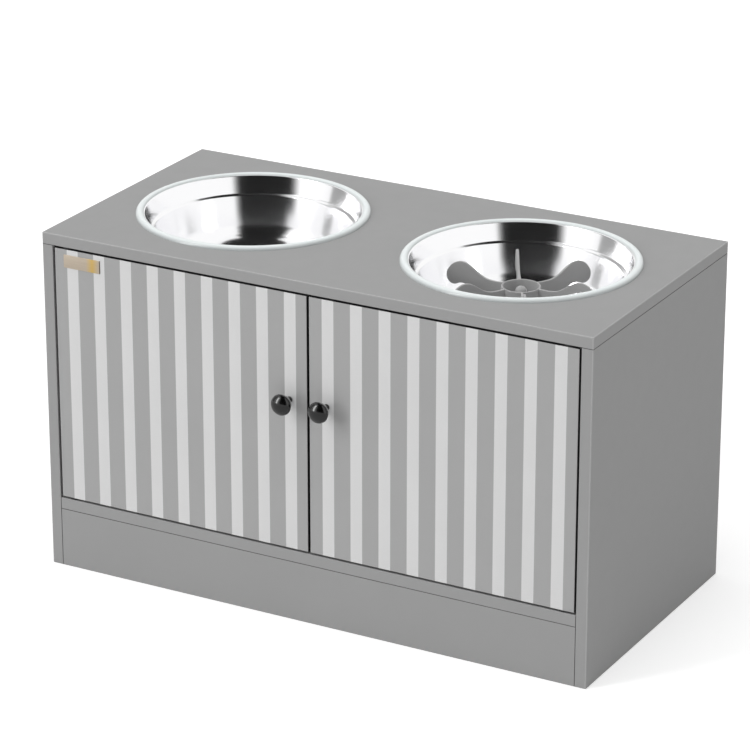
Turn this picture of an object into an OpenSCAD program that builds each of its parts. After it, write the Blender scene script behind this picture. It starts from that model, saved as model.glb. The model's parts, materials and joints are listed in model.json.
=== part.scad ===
// Raised dog feeder: a low cabinet with two inset doors and two steel bowls that drop into its top.
// X runs to the right, Y to the back and Z up. The origin is on the floor, at the middle of the outer size.

/* [Cabinet] */
// Width over the side panels
cabinet_w = 600; // [570:5:900]
// Depth from the front edges to the back edges
cabinet_d = 300; // [270:5:450]
// Height from the floor to the top face
cabinet_h = 355; // [300:5:500]
// Thickness of the boards and doors
board_t = 12; // [12:0.5:18]
// Height of the plinth under the bottom panel
plinth_h = 62; // [50:1:100]
// Rounding of the boards' edges
edge_r = 0.6; // [0.3:0.1:1]
// Thickness of the back panel
back_t = 3; // [2.5:0.5:5]
// Distance from the back edges to the back panel
back_inset = 8; // [6:1:15]
// Depth of the grooves that hold the back panel
groove_depth = 5; // [3:0.5:6]

/* [Doors] */
// Gap between a door and the boards around it
door_gap = 2; // [1.6:0.1:3]
// Gap between the two doors
meeting_gap = 2.5; // [2:0.1:4]
// Set-back of the doors' faces behind the front edges
door_recess = 0.3; // [0:0.1:2]
// Room left beside the door's corner as it swings
sweep_room = 0.6; // [0.4:0.1:1]

/* [Door pivots] */
// Diameter of the pivot pins
pin_d = 5; // [4:0.25:5]
// Depth of a pin in the door
pin_seat = 20; // [12:1:40]
// Length of a bush in its board
bush_l = 8; // [6:0.5:9]
// Wall of a bush round its pin
bush_wall = 1.5; // [1:0.1:1.5]
// Width of a bush's flange past its wall
bush_flange = 1.5; // [1:0.1:1.5]
// Gap between a bush's flange and the door
pivot_play = 0.2; // [0.1:0.05:0.3]

/* [Knobs] */
// Diameter of a knob's head
knob_d = 21.5; // [18:0.5:30]
// Distance from the door to the front of the knob
knob_reach = 23.2; // [20:0.1:30]
// Distance from the door to the widest part of the head
knob_rim_z = 16.6; // [12:0.1:17]
// Diameter of the knob's stem
knob_stem_d = 5.6; // [5.4:0.1:9]
// Distance from the door's inner edge to the knob
knob_inset = 19.2; // [15:0.1:40]
// Height of the knob above the door's lower edge
knob_rise = 156.3; // [80:0.1:160]
// Diameter of the knob's screw
knob_screw_d = 3; // [3:0.1:3.5]

/* [Magnetic catch] */
// Width of a strike plate
strike_w = 16; // [12:0.5:20]
// Height of a strike plate
strike_h = 9; // [8:0.5:10]
// Thickness of a strike plate
strike_t = 1.2; // [0.8:0.1:2]
// Distance from the door's inner edge to the strike plate
strike_edge = 4; // [3:0.5:10]
// Depth of the catch's housing
catch_d = 14; // [12:1:20]
// Height of the catch's housing
catch_h = 14; // [14:0.5:20]
// Width of a screw ear beside the housing
ear_w = 9; // [8:0.5:12]
// Thickness of the screw ears
ear_t = 3; // [2:0.5:4]
// Thickness of the pole plates beside a magnet
pole_t = 1.2; // [0.8:0.1:2]

/* [Joinery] */
// Diameter of the cam locks
cam_d = 12; // [11:0.5:14]
// Distance from a joint to the cam's centre
cam_reach = 24; // [20:1:34]
// Diameter of the cam bolts' shanks
bolt_d = 5; // [4:0.5:6]
// Depth of a cam bolt's thread in the board it screws into
bolt_seat = 9; // [7:0.5:9]
// Distance from the front and back edges to the cam locks
cam_inset = 55; // [45:1:80]
// Diameter of the dowels
dowel_d = 6; // [5:0.5:6]
// Length of the dowels
dowel_l = 28; // [20:1:35]
// Depth of a dowel in the face of a board
dowel_seat = 8; // [6:0.5:9]
// Distance from the front and back edges to the dowels
dowel_inset = 30; // [20:1:35]

/* [Bowls] */
// Distance from the middle to a bowl's centre, as a share of the cabinet's width
bowl_place_share = 0.249; // [0.24:0.001:0.265]
// Distance from the middle of the cabinet's depth back to the bowls' centres
bowl_setback = 2; // [0:0.5:5]
// Inside diameter of a bowl's mouth
bowl_mouth_d = 216.4; // [180:1:220]
// Depth of a bowl's floor below the top face
bowl_depth = 66; // [55:1:80]
// Thickness of the steel
bowl_wall = 0.8; // [0.5:0.1:1]
// Lean of the short wall above the stacking step
upper_lean = 5.5; // [2:0.5:8]
// Depth of the stacking step below the top face
step_drop = 15; // [10:0.5:20]
// Width of the stacking step
step_w = 3.5; // [2:0.5:6]
// Slope of the stacking step over its width
step_fall = 1.6; // [0.5:0.1:3]
// Draft of the wall below the step, in degrees
wall_draft = 14; // [5:1:20]
// Radius between the wall and the floor
base_curve_r = 28; // [15:1:34]
// Height of the rim's flange above the top face
flange_rise = 1.9; // [1.8:0.1:2.5]
// Width from the bowl's mouth to the hem
flange_w = 4.3; // [3.5:0.1:5]
// Gap between a bowl and its cut-out
cutout_play = 1.2; // [0.5:0.1:1.5]

/* [Rim rings] */
// Width of the ring's rounded section
ring_w = 8.8; // [8.6:0.1:10]
// Height of the ring above the top face
ring_h = 3.9; // [3.5:0.1:4.3]
// Distance from the bowl's mouth to the middle of the section
ring_offset = 4.6; // [4.5:0.1:5.2]

/* [Slow-feed insert] */
// Number of fins
fin_count = 6; // [3:1:8]
// Thickness of the fins
fin_t = 2.4; // [1.5:0.1:4]
// Gap between the fins and the bowl's wall below the step
fin_wall_gap = 18.7; // [8:0.1:30]
// Depth of the fins' peaks below the top face
fin_drop = 11.5; // [5:0.5:20]
// Diameter of the hub
hub_d = 38.5; // [34:0.5:46]
// Wall of the hub
hub_wall = 1.8; // [1.2:0.1:3]
// Depth of the hub's rim below the top face
hub_drop = 25; // [22:0.5:32]
// Height of the hub's floor above the bowl's floor
hub_floor_rise = 8; // [6:0.5:12]
// Thickness of the hub's floor
hub_floor_t = 2; // [1.5:0.1:3]
// Diameter of the domed post in the hub
post_d = 11.6; // [10:0.1:14]
// Depth of the post's dome below the hub's rim
post_drop = 0.5; // [0.2:0.1:10]
// Diameter of the suction cup's stem
stem_d = 6; // [5:0.5:7]
// Length of the stem in the post
stem_seat = 12; // [8:0.5:14]
// Gap between the hub and the suction cup's skirt
skirt_play = 1; // [0.5:0.1:3]

/* [Hidden] */
$fn = 96;

// Overrun of every cut past the face that it opens
overrun = 1;
// Radial clearance of a piece held fast in its hole
snug_fit = 0.05;
// Radial clearance of a pin that turns in its bush
running_fit = 0.05;
// Clearance at the blind end of a hole
end_play = 0.5;
// Clearance of pieces that slide into a pocket or a groove
slide_fit = 0.2;
// Gap between closed pieces that don't touch, such as a strike plate and the catch
closing_gap = 0.3;

// Levels and planes of the cabinet
reach_past_front = knob_reach - door_recess;
front_y = (reach_past_front - cabinet_d) / 2;
back_y = front_y + cabinet_d;
mid_y = front_y + cabinet_d / 2;
inner_x = cabinet_w / 2 - board_t;
side_mid_x = cabinet_w / 2 - board_t / 2;
top_under_z = cabinet_h - board_t;
bottom_top_z = plinth_h + board_t;
bottom_mid_z = plinth_h + board_t / 2;
front_mid_y = front_y + board_t / 2;
groove_y = back_y - back_inset - back_t;

// Doors
door_front_y = front_y + door_recess;
door_back_y = door_front_y + board_t;
door_left_x = meeting_gap / 2;
door_right_x = inner_x - door_gap;
door_bottom_z = bottom_top_z + door_gap;
door_top_z = top_under_z - door_gap;
door_h = door_top_z - door_bottom_z;

// A pivot this far from the door's edge keeps the swinging corner inside the gap
corner_sweep = door_gap - sweep_room;
pivot_inset = ((board_t / 2) ^ 2 - corner_sweep ^ 2) / (2 * corner_sweep);
pivot_x = door_right_x - pivot_inset;
pivot_y = door_front_y + board_t / 2;
pin_r = pin_d / 2;
bush_bore_r = pin_r + running_fit;
bush_r = bush_bore_r + bush_wall;
flange_r = bush_r + bush_flange;
flange_t = door_gap - pivot_play;

// Knobs
knob_x = door_left_x + knob_inset;
knob_z = door_bottom_z + knob_rise;
knob_r = knob_d / 2;
knob_stem_r = knob_stem_d / 2;
knob_foot_h = 1.2;
knob_foot_w = 0.3;
knob_back_share = 0.36;
knob_rim_share = 0.9;
knob_bore_depth = 9;
dome_steps = 24;

// Screws
pan_head_h = 1.8;
pan_head_share = 1.9;
pan_top_share = 0.8;
recess_share = 0.55;
recess_w_share = 0.2;
small_screw_d = 3;
small_screw_seat = 8;
strike_screw_l = 8;
countersunk_share = 1.75;

// Catch and strike plates
strike_x = door_left_x + strike_edge + strike_w / 2;
strike_drop = 0.5;
strike_z = door_top_z - strike_drop - strike_h / 2;
catch_front_y = door_back_y + strike_t + closing_gap;
catch_w = 2 * (strike_x + strike_w / 2);
magnet_w = strike_w / 2;
magnet_back_wall = 5;
magnet_d = catch_d - magnet_back_wall;
magnet_recess = 0.5;
ear_r = 2;

// Joinery
cam_r = cam_d / 2;
cam_below_axis = 3.2;
cam_h = board_t / 2 + cam_below_axis;
bolt_r = bolt_d / 2;
bolt_flare = 0.3;
bolt_thread_r = bolt_r + bolt_flare;
bolt_neck_share = 0.6;
bolt_neck_r = bolt_r * bolt_neck_share;
bolt_neck_l = 4.5;
bolt_head_r = bolt_r + bolt_flare;
bolt_head_l = 3;
cam_room = 0.3;
cam_slot_share = 0.6;
cam_slot_w = 1.4;
cam_slot_depth = 1;
dowel_r = dowel_d / 2;
plinth_cam_share = 0.32;
plinth_dowel_share = 0.7;
plinth_dowel_shares = [-0.5, 0, 0.5];

// Bowls: the inner face is one line from the centre to the hem
bowl_x = cabinet_w * bowl_place_share;
bowl_y = mid_y + bowl_setback;
mouth_r = bowl_mouth_d / 2;
step_outer_r = mouth_r - upper_lean;
step_inner_r = step_outer_r - step_w;
step_low_z = step_drop + step_fall;
base_corner_r = step_inner_r - (bowl_depth - step_low_z) * tan(wall_draft);
step_curve_r = 1.4;
mouth_curve_r = 1.2;
hem_room = 0.05;
hem_r = flange_rise / 2 - hem_room;
hem_x = mouth_r + flange_w;
hem_z = flange_rise - hem_r;
hem_end = -180 - asin(1 - bowl_wall / hem_r);
hem_steps = 20;
cutout_r = mouth_r + bowl_wall + cutout_play;
curve_steps = 10;

// Rim rings
ring_flat = ring_w - 2 * ring_h;
ring_centre_r = mouth_r + ring_offset;

// Slow-feed insert, with heights above the bowl's floor
insert_floor_z = cabinet_h - bowl_depth + slide_fit;
hub_r = hub_d / 2;
hub_h = bowl_depth - hub_drop - slide_fit;
fin_h = bowl_depth - fin_drop - slide_fit;
fin_reach = step_inner_r - fin_wall_gap;
fin_root_r = hub_r - hub_wall / 2;
post_r = post_d / 2;
post_h = hub_h - post_drop;
stem_r = stem_d / 2;
skirt_r = hub_r - hub_wall - skirt_play;
skirt_t = 1.6;
skirt_cup = 2.2;
fin_curve_steps = 4;
// Outline of a fin from the hub's rim round the paddle to its foot, as shares of its reach and its height
fin_outline_shares = [
    [0.34, 0.745], [0.45, 0.76], [0.54, 0.815], [0.65, 0.925], [0.77, 1.0], [0.87, 0.975], [0.96, 0.865],
    [1.0, 0.71], [0.965, 0.59], [0.9, 0.555], [0.8, 0.6], [0.69, 0.565], [0.6, 0.42], [0.53, 0.2],
    [0.49, 0.0]
];

// Colours
grey_board = [0.63, 0.63, 0.63];
grey_door = [0.66, 0.66, 0.66];
hardboard = [0.55, 0.55, 0.54];
steel = [0.82, 0.83, 0.84];
zinc = [0.7, 0.71, 0.72];
ring_white = [0.93, 0.95, 0.95];
insert_grey = [0.5, 0.5, 0.5];
beech = [0.85, 0.72, 0.5];
gloss_black = [0.06, 0.06, 0.06];
white_plastic = [0.92, 0.92, 0.9];
black_plastic = [0.1, 0.1, 0.1];
ferrite = [0.15, 0.15, 0.16];
soft_grey = [0.42, 0.42, 0.43];

// Geometry helpers

// Unit vector along v
function unit(v) = v / norm(v);

// Point on the round of radius r that replaces the corner b between a and c, at share t of its turn
function fillet_point(a, b, c, r, t) =
    let (u = unit(a - b), v = unit(c - b))
    let (half = acos(u * v) / 2)
    let (centre = b + unit(u + v) * r / sin(half))
    let (start = b + u * r / tan(half) - centre, end = b + v * r / tan(half) - centre)
    let (turn = 2 * (90 - half))
    centre + (start * sin((1 - t) * turn) + end * sin(t * turn)) / sin(turn);

// Line through corners, each with its own radius, where a radius of 0 keeps the corner sharp
function rounded_line(corners, radii, steps) = [
    for (i = [0:len(corners) - 1])
        for (s = [0:radii[i] > 0 ? steps : 0])
            radii[i] > 0
                ? fillet_point(corners[i - 1], corners[i], corners[i + 1], radii[i], s / steps)
                : corners[i]
];

// Direction square to a line at its point i, to the right of its run
function side_normal(line, i) =
    let (last = len(line) - 1)
    let (run = unit(line[min(i + 1, last)] - line[max(i - 1, 0)]))
    [run.y, -run.x];

// Outer face, from its end to its start, of a sheet of thickness t whose inner face follows a line
function outer_face(line, t) = [for (i = [len(line) - 1:-1:0]) line[i] + t * side_normal(line, i)];

// Point of the smooth curve through b and c, between a and d, at share t
function smooth_point(a, b, c, d, t) =
    (2 * b + (c - a) * t + (2 * a - 5 * b + 4 * c - d) * t ^ 2 + (3 * b - a - 3 * c + d) * t ^ 3) / 2;

// Smooth curve through every given point
function smooth_line(points, steps) =
    let (last = len(points) - 1)
    concat(
        [
            for (i = [0:last - 1])
                let (before = points[max(i - 1, 0)], after = points[min(i + 2, last)])
                for (s = [0:steps - 1]) smooth_point(before, points[i], points[i + 1], after, s / steps)
        ],
        [points[last]]
    );

// Rectangle with round corners, from the origin
module rounded_rectangle(w, h, r) {
    translate([r, 0]) square([w - 2 * r, h]);
    translate([0, r]) square([w, h - 2 * r]);
    for (x = [r, w - r], y = [r, h - r]) translate([x, y]) circle(r);
}

// Board with every edge eased, from its low corner
module eased_board(size) {
    intersection() {
        linear_extrude(size.z) rounded_rectangle(size.x, size.y, edge_r);
        translate([0, size.y, 0])
            rotate([90, 0, 0])
                linear_extrude(size.y)
                    rounded_rectangle(size.x, size.z, edge_r);
        rotate([90, 0, 90]) linear_extrude(size.x) rounded_rectangle(size.y, size.z, edge_r);
    }
}

// What is on the right of the cabinet, again on the left
module both_sides() {
    children();
    mirror([1, 0, 0]) children();
}

// Screw with a domed cross-recessed head on Z = 0 and its shank below
module pan_screw(d, l) {
    head_r = d * pan_head_share / 2;
    difference() {
        union() {
            cylinder(r = head_r, h = pan_head_h / 2);
            translate([0, 0, pan_head_h / 2])
                cylinder(r1 = head_r, r2 = head_r * pan_top_share, h = pan_head_h / 2);
            translate([0, 0, -l]) cylinder(d = d, h = l);
        }
        cross_recess(head_r, pan_head_h);
    }
}

// Screw with a countersunk cross-recessed head flush with Z = 0
module countersunk_screw(d, l) {
    head_r = d * countersunk_share / 2;
    head_h = head_r - d / 2;
    difference() {
        union() {
            translate([0, 0, -head_h]) cylinder(r1 = d / 2, r2 = head_r, h = head_h);
            translate([0, 0, -l]) cylinder(d = d, h = l - head_h);
        }
        cross_recess(head_r, 0);
    }
}

// Cross cut into a head of radius r whose top is at height h
module cross_recess(r, h) {
    arm = 2 * r * recess_share;
    arm_w = 2 * r * recess_w_share;
    depth = r * recess_share;
    for (turn = [0, 90])
        rotate([0, 0, turn])
            translate([-arm / 2, -arm_w / 2, h - depth])
                cube([arm, arm_w, depth + overrun]);
}

// Places of the joints, with X along the bolt towards the board it screws into and Z to the cam's open face
module cam_joints() {
    both_sides() {
        for (y = [front_y + cam_inset, back_y - cam_inset]) {
            translate([side_mid_x, y, top_under_z - cam_reach]) rotate([0, -90, 0]) children();
            translate([inner_x - cam_reach, y, bottom_mid_z]) rotate([180, 0, 0]) children();
        }
        translate([inner_x - cam_reach, front_mid_y, plinth_h * plinth_cam_share])
            rotate([-90, 0, 0])
                children();
    }
}

// Room for a cam lock and its bolt in the boards
module cam_joint_cuts() {
    cam_joints() {
        translate([0, 0, -cam_below_axis - slide_fit])
            cylinder(r = cam_r + slide_fit, h = cam_h + slide_fit + overrun);
        rotate([0, 90, 0]) cylinder(r = bolt_r + slide_fit, h = cam_reach);
        translate([cam_reach - overrun, 0, 0])
            rotate([0, 90, 0])
                cylinder(r = bolt_thread_r + snug_fit, h = bolt_seat + end_play + overrun);
    }
}

// Places of the dowels, with Z = 0 on the joint and Z into the face of a board
module dowel_places() {
    both_sides() {
        for (y = [front_y + dowel_inset, back_y - dowel_inset]) {
            translate([side_mid_x, y, top_under_z]) children();
            translate([inner_x, y, bottom_mid_z]) rotate([0, 90, 0]) children();
        }
        translate([inner_x, front_mid_y, plinth_h * plinth_dowel_share]) rotate([0, 90, 0]) children();
    }
    for (share = plinth_dowel_shares) translate([share * inner_x, front_mid_y, plinth_h]) children();
}

// Every dowel, or its hole when it is given play round it and at its ends
module dowel_set(side_play, end_room) {
    dowel_places()
        translate([0, 0, dowel_seat - dowel_l - end_room])
            cylinder(r = dowel_r + side_play, h = dowel_l + 2 * end_room);
}

// The back panel, or its grooves when it is given play round it
module back_sheet(play) {
    half_w = inner_x + groove_depth - slide_fit + play;
    low_z = bottom_top_z - groove_depth + slide_fit - play;
    high_z = top_under_z + groove_depth - slide_fit + play;
    translate([-half_w, groove_y - play, low_z]) cube([2 * half_w, back_t + 2 * play, high_z - low_z]);
}

// Places of the right-hand door's pivots, with Z out of the door's edge and into the board
module door_pivots() {
    translate([pivot_x, pivot_y, door_top_z]) children();
    translate([pivot_x, pivot_y, door_bottom_z]) mirror([0, 0, 1]) children();
}

// Seats of the pivot bushes in the top and bottom panels
module bush_cuts() {
    both_sides()
        door_pivots()
            translate([0, 0, door_gap - overrun])
                cylinder(r = bush_r + snug_fit, h = bush_l + end_play + overrun);
}

// Places of the catch's two screws, with Z down out of the panel
module catch_screw_places() {
    both_sides()
        translate([catch_w / 2 + ear_w / 2, catch_front_y + catch_d / 2, top_under_z])
            mirror([0, 0, 1])
                children();
}

// Cabinet

module top_panel() {
    color(grey_board)
        difference() {
            translate([-cabinet_w / 2, front_y, top_under_z]) eased_board([cabinet_w, cabinet_d, board_t]);
            both_sides()
                translate([bowl_x, bowl_y, top_under_z - overrun])
                    cylinder(r = cutout_r, h = board_t + 2 * overrun);
            cam_joint_cuts();
            dowel_set(snug_fit, end_play);
            bush_cuts();
            back_sheet(slide_fit);
            catch_screw_places()
                translate([0, 0, -small_screw_seat - end_play])
                    cylinder(d = small_screw_d + 2 * snug_fit, h = small_screw_seat + end_play + overrun);
        }
}

module side_panel() {
    difference() {
        translate([inner_x, front_y, 0]) eased_board([board_t, cabinet_d, top_under_z]);
        cam_joint_cuts();
        dowel_set(snug_fit, end_play);
        translate([inner_x - overrun, groove_y - slide_fit, -overrun])
            cube([groove_depth + overrun, back_t + 2 * slide_fit, top_under_z + 2 * overrun]);
    }
}

module left_side_panel() {
    color(grey_board) mirror([1, 0, 0]) side_panel();
}

module right_side_panel() {
    color(grey_board) side_panel();
}

module bottom_panel() {
    color(grey_board)
        difference() {
            translate([-inner_x, front_y, plinth_h]) eased_board([2 * inner_x, cabinet_d, board_t]);
            cam_joint_cuts();
            dowel_set(snug_fit, end_play);
            bush_cuts();
            translate([-inner_x - overrun, groove_y - slide_fit, bottom_top_z - groove_depth])
                cube([2 * (inner_x + overrun), back_t + 2 * slide_fit, groove_depth + overrun]);
        }
}

module plinth_board() {
    color(grey_board)
        difference() {
            translate([-inner_x, front_y, 0]) eased_board([2 * inner_x, board_t, plinth_h]);
            cam_joint_cuts();
            dowel_set(snug_fit, end_play);
        }
}

module back_panel() {
    color(hardboard) back_sheet(0);
}

module cam_locks() {
    head_l = bolt_head_l + 2 * cam_room;
    head_room = bolt_head_r + cam_room;
    neck_room = bolt_neck_r + cam_room;
    slot_l = cam_d * cam_slot_share;
    color(zinc)
        cam_joints()
            difference() {
                translate([0, 0, -cam_below_axis]) cylinder(r = cam_r, h = cam_h - slide_fit);
                translate([-head_l / 2, -head_room, -cam_below_axis - overrun])
                    cube([head_l, 2 * head_room, cam_below_axis + head_room + overrun]);
                translate([0, -neck_room, -cam_below_axis - overrun])
                    cube([cam_r + overrun, 2 * neck_room, cam_below_axis + neck_room + overrun]);
                for (turn = [45, 135])
                    rotate([0, 0, turn])
                        translate([-slot_l / 2, -cam_slot_w / 2, board_t / 2 - slide_fit - cam_slot_depth])
                            cube([slot_l, cam_slot_w, cam_slot_depth + overrun]);
            }
}

module cam_bolts() {
    shank_start = bolt_head_l / 2 + bolt_neck_l;
    color(zinc)
        cam_joints()
            rotate([0, 90, 0]) {
                translate([0, 0, -bolt_head_l / 2]) cylinder(r = bolt_head_r, h = bolt_head_l);
                cylinder(r = bolt_neck_r, h = shank_start + overrun);
                translate([0, 0, shank_start]) cylinder(r = bolt_r, h = cam_reach - shank_start);
                translate([0, 0, cam_reach - slide_fit])
                    cylinder(r = bolt_thread_r, h = bolt_seat + slide_fit);
            }
}

module dowels() {
    color(beech) dowel_set(0, 0);
}

module pivot_bushes() {
    color(black_plastic)
        both_sides()
            door_pivots()
                difference() {
                    union() {
                        translate([0, 0, pivot_play]) cylinder(r = flange_r, h = flange_t);
                        translate([0, 0, door_gap]) cylinder(r = bush_r, h = bush_l);
                    }
                    translate([0, 0, -overrun])
                        cylinder(r = bush_bore_r, h = door_gap + bush_l + 2 * overrun);
                }
}

// Catch under the top panel

module catch_housing() {
    pocket_w = magnet_w + 2 * pole_t + 2 * snug_fit;
    pocket_z = strike_z - strike_h / 2 - snug_fit;
    color(white_plastic)
        difference() {
            union() {
                translate([-catch_w / 2, catch_front_y, top_under_z - catch_h])
                    cube([catch_w, catch_d, catch_h]);
                translate([-catch_w / 2 - ear_w, catch_front_y, top_under_z - ear_t])
                    linear_extrude(ear_t)
                        rounded_rectangle(catch_w + 2 * ear_w, catch_d, ear_r);
            }
            both_sides()
                translate([strike_x - pocket_w / 2, catch_front_y - overrun, pocket_z])
                    cube([pocket_w, magnet_d + magnet_recess + overrun, strike_h + 2 * snug_fit]);
            catch_screw_places()
                translate([0, 0, -overrun])
                    cylinder(d = small_screw_d + 2 * slide_fit, h = ear_t + 2 * overrun);
        }
}

module catch_magnets() {
    color(ferrite)
        both_sides()
            translate([strike_x - magnet_w / 2, catch_front_y + magnet_recess, strike_z - strike_h / 2])
                cube([magnet_w, magnet_d, strike_h]);
}

module catch_pole_plates() {
    color(zinc)
        both_sides()
            for (x = [strike_x - magnet_w / 2 - pole_t, strike_x + magnet_w / 2])
                translate([x, catch_front_y, strike_z - strike_h / 2])
                    cube([pole_t, magnet_d + magnet_recess, strike_h]);
}

module catch_screws() {
    color(zinc)
        catch_screw_places()
            translate([0, 0, ear_t])
                pan_screw(small_screw_d, ear_t + small_screw_seat);
}

// Doors, drawn for the right-hand one

module door_panel() {
    difference() {
        translate([door_left_x, door_front_y, door_bottom_z])
            eased_board([door_right_x - door_left_x, board_t, door_h]);
        door_pivots()
            translate([0, 0, -pin_seat - end_play])
                cylinder(r = pin_r + snug_fit, h = pin_seat + end_play + overrun);
        translate([knob_x, door_front_y - overrun, knob_z])
            rotate([-90, 0, 0])
                cylinder(d = knob_screw_d + 2 * slide_fit, h = board_t + 2 * overrun);
        translate([strike_x, door_back_y, strike_z])
            rotate([90, 0, 0])
                translate([0, 0, -overrun])
                    cylinder(d = small_screw_d + 2 * snug_fit, h = strike_screw_l + end_play + overrun);
    }
}

module knob() {
    back_z = knob_rim_z * knob_back_share;
    edge_z = knob_rim_z * knob_rim_share;
    dome_h = knob_reach - knob_rim_z;
    foot_r = knob_stem_r + knob_foot_w;
    dome = [
        for (i = [0:dome_steps])
            let (a = 90 * i / dome_steps)
            [knob_r * cos(a), knob_rim_z + dome_h * sin(a)]
    ];
    profile = concat(
        [[0, 0], [foot_r, 0], [foot_r, knob_foot_h], [knob_stem_r, knob_foot_h + knob_foot_w]],
        [[knob_stem_r, back_z], [knob_r * knob_rim_share, edge_z]],
        dome
    );
    translate([knob_x, door_front_y, knob_z])
        rotate([90, 0, 0])
            difference() {
                rotate_extrude() polygon(profile);
                translate([0, 0, -overrun])
                    cylinder(d = knob_screw_d + 2 * snug_fit, h = knob_bore_depth + overrun);
            }
}

module knob_screw() {
    translate([knob_x, door_back_y, knob_z])
        rotate([-90, 0, 0])
            pan_screw(knob_screw_d, board_t + knob_bore_depth - end_play);
}

module pivot_pins() {
    door_pivots() translate([0, 0, -pin_seat]) cylinder(r = pin_r, h = pin_seat + door_gap + bush_l);
}

module strike_plate() {
    translate([strike_x - strike_w / 2, door_back_y, strike_z - strike_h / 2])
        difference() {
            cube([strike_w, strike_t, strike_h]);
            translate([strike_w / 2, -overrun, strike_h / 2])
                rotate([-90, 0, 0])
                    cylinder(d = small_screw_d + 2 * snug_fit, h = strike_t + 2 * overrun);
            translate([strike_w / 2, strike_t, strike_h / 2]) rotate([-90, 0, 0]) countersink();
        }
}

// Cone that seats a countersunk head, with its wide end past Z = 0
module countersink() {
    head_r = small_screw_d * countersunk_share / 2 + snug_fit;
    depth = head_r - small_screw_d / 2;
    translate([0, 0, -depth]) cylinder(r1 = small_screw_d / 2, r2 = head_r + overrun, h = depth + overrun);
}

module strike_screw() {
    translate([strike_x, door_back_y + strike_t, strike_z])
        rotate([-90, 0, 0])
            countersunk_screw(small_screw_d, strike_t + strike_screw_l);
}

module left_door_panel() {
    color(grey_door) mirror([1, 0, 0]) door_panel();
}

module left_knob() {
    color(gloss_black) mirror([1, 0, 0]) knob();
}

module left_knob_screw() {
    color(zinc) mirror([1, 0, 0]) knob_screw();
}

module left_pivot_pins() {
    color(steel) mirror([1, 0, 0]) pivot_pins();
}

module left_strike_plate() {
    color(zinc) mirror([1, 0, 0]) strike_plate();
}

module left_strike_screw() {
    color(zinc) mirror([1, 0, 0]) strike_screw();
}

module right_door_panel() {
    color(grey_door) door_panel();
}

module right_knob() {
    color(gloss_black) knob();
}

module right_knob_screw() {
    color(zinc) knob_screw();
}

module right_pivot_pins() {
    color(steel) pivot_pins();
}

module right_strike_plate() {
    color(zinc) strike_plate();
}

module right_strike_screw() {
    color(zinc) strike_screw();
}

// Bowls, with Z = 0 on the top face

// Spun steel bowl: flat floor, round base, stacking step, flange and hem
module bowl() {
    inner_face = rounded_line(
        [
            [0, -bowl_depth],
            [base_corner_r, -bowl_depth],
            [step_inner_r, -step_low_z],
            [step_outer_r, -step_drop],
            [mouth_r, flange_rise],
            [hem_x + hem_r * cos(hem_end), flange_rise]
        ],
        [0, base_curve_r, step_curve_r, step_curve_r, mouth_curve_r, 0],
        curve_steps
    );
    hem = [
        for (i = [0:hem_steps - 1])
            let (a = 90 + (hem_end - 90) * i / hem_steps)
            [hem_x + hem_r * cos(a), hem_z + hem_r * sin(a)]
    ];
    rotate_extrude() polygon(concat(inner_face, hem, outer_face(inner_face, bowl_wall)));
}

// Rounded ring that caps the hem and stands on the top face
module rim_ring() {
    hem_room_r = hem_x + hem_r + snug_fit;
    rotate_extrude()
        difference() {
            intersection() {
                union() {
                    for (side = [-1, 1]) translate([ring_centre_r + side * ring_flat / 2, 0]) circle(ring_h);
                    translate([ring_centre_r - ring_flat / 2, 0]) square([ring_flat, ring_h]);
                }
                square([ring_centre_r + ring_w, ring_h]);
            }
            translate([0, -overrun]) square([hem_room_r, flange_rise + snug_fit + overrun]);
        }
}

module left_bowl() {
    color(steel) translate([-bowl_x, bowl_y, cabinet_h]) bowl();
}

module left_rim_ring() {
    color(ring_white) translate([-bowl_x, bowl_y, cabinet_h]) rim_ring();
}

module right_bowl() {
    color(steel) translate([bowl_x, bowl_y, cabinet_h]) bowl();
}

module right_rim_ring() {
    color(ring_white) translate([bowl_x, bowl_y, cabinet_h]) rim_ring();
}

// Slow-feed insert in the right-hand bowl, with Z = 0 on its own foot

// One upright fin along X, from the hub's wall to its round paddle
module fin() {
    rim_to_foot = smooth_line(
        concat([[fin_root_r, hub_h]], [for (s = fin_outline_shares) [s.x * fin_reach, s.y * fin_h]]),
        fin_curve_steps
    );
    rotate([90, 0, 0])
        translate([0, 0, -fin_t / 2])
            linear_extrude(fin_t)
                polygon(concat(rim_to_foot, [[fin_root_r, 0]]));
}

module hub() {
    inner_r = hub_r - hub_wall;
    difference() {
        union() {
            cylinder(r = hub_r, h = hub_h);
            for (i = [0:fin_count - 1]) rotate([0, 0, 360 * i / fin_count]) fin();
        }
        translate([0, 0, hub_floor_rise + hub_floor_t]) cylinder(r = inner_r, h = hub_h);
        translate([0, 0, -overrun]) cylinder(r = inner_r, h = hub_floor_rise + overrun);
    }
}

module post() {
    rotate_extrude()
        intersection() {
            union() {
                translate([0, hub_floor_rise]) square([post_r, post_h - post_r - hub_floor_rise]);
                translate([0, post_h - post_r]) circle(post_r);
            }
            translate([0, hub_floor_rise]) square([post_r, post_h]);
        }
}

module slow_feed_insert() {
    color(insert_grey)
        translate([bowl_x, bowl_y, insert_floor_z])
            difference() {
                union() {
                    hub();
                    post();
                }
                translate([0, 0, hub_floor_rise - overrun])
                    cylinder(r = stem_r + snug_fit, h = stem_seat + end_play + overrun);
            }
}

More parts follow.
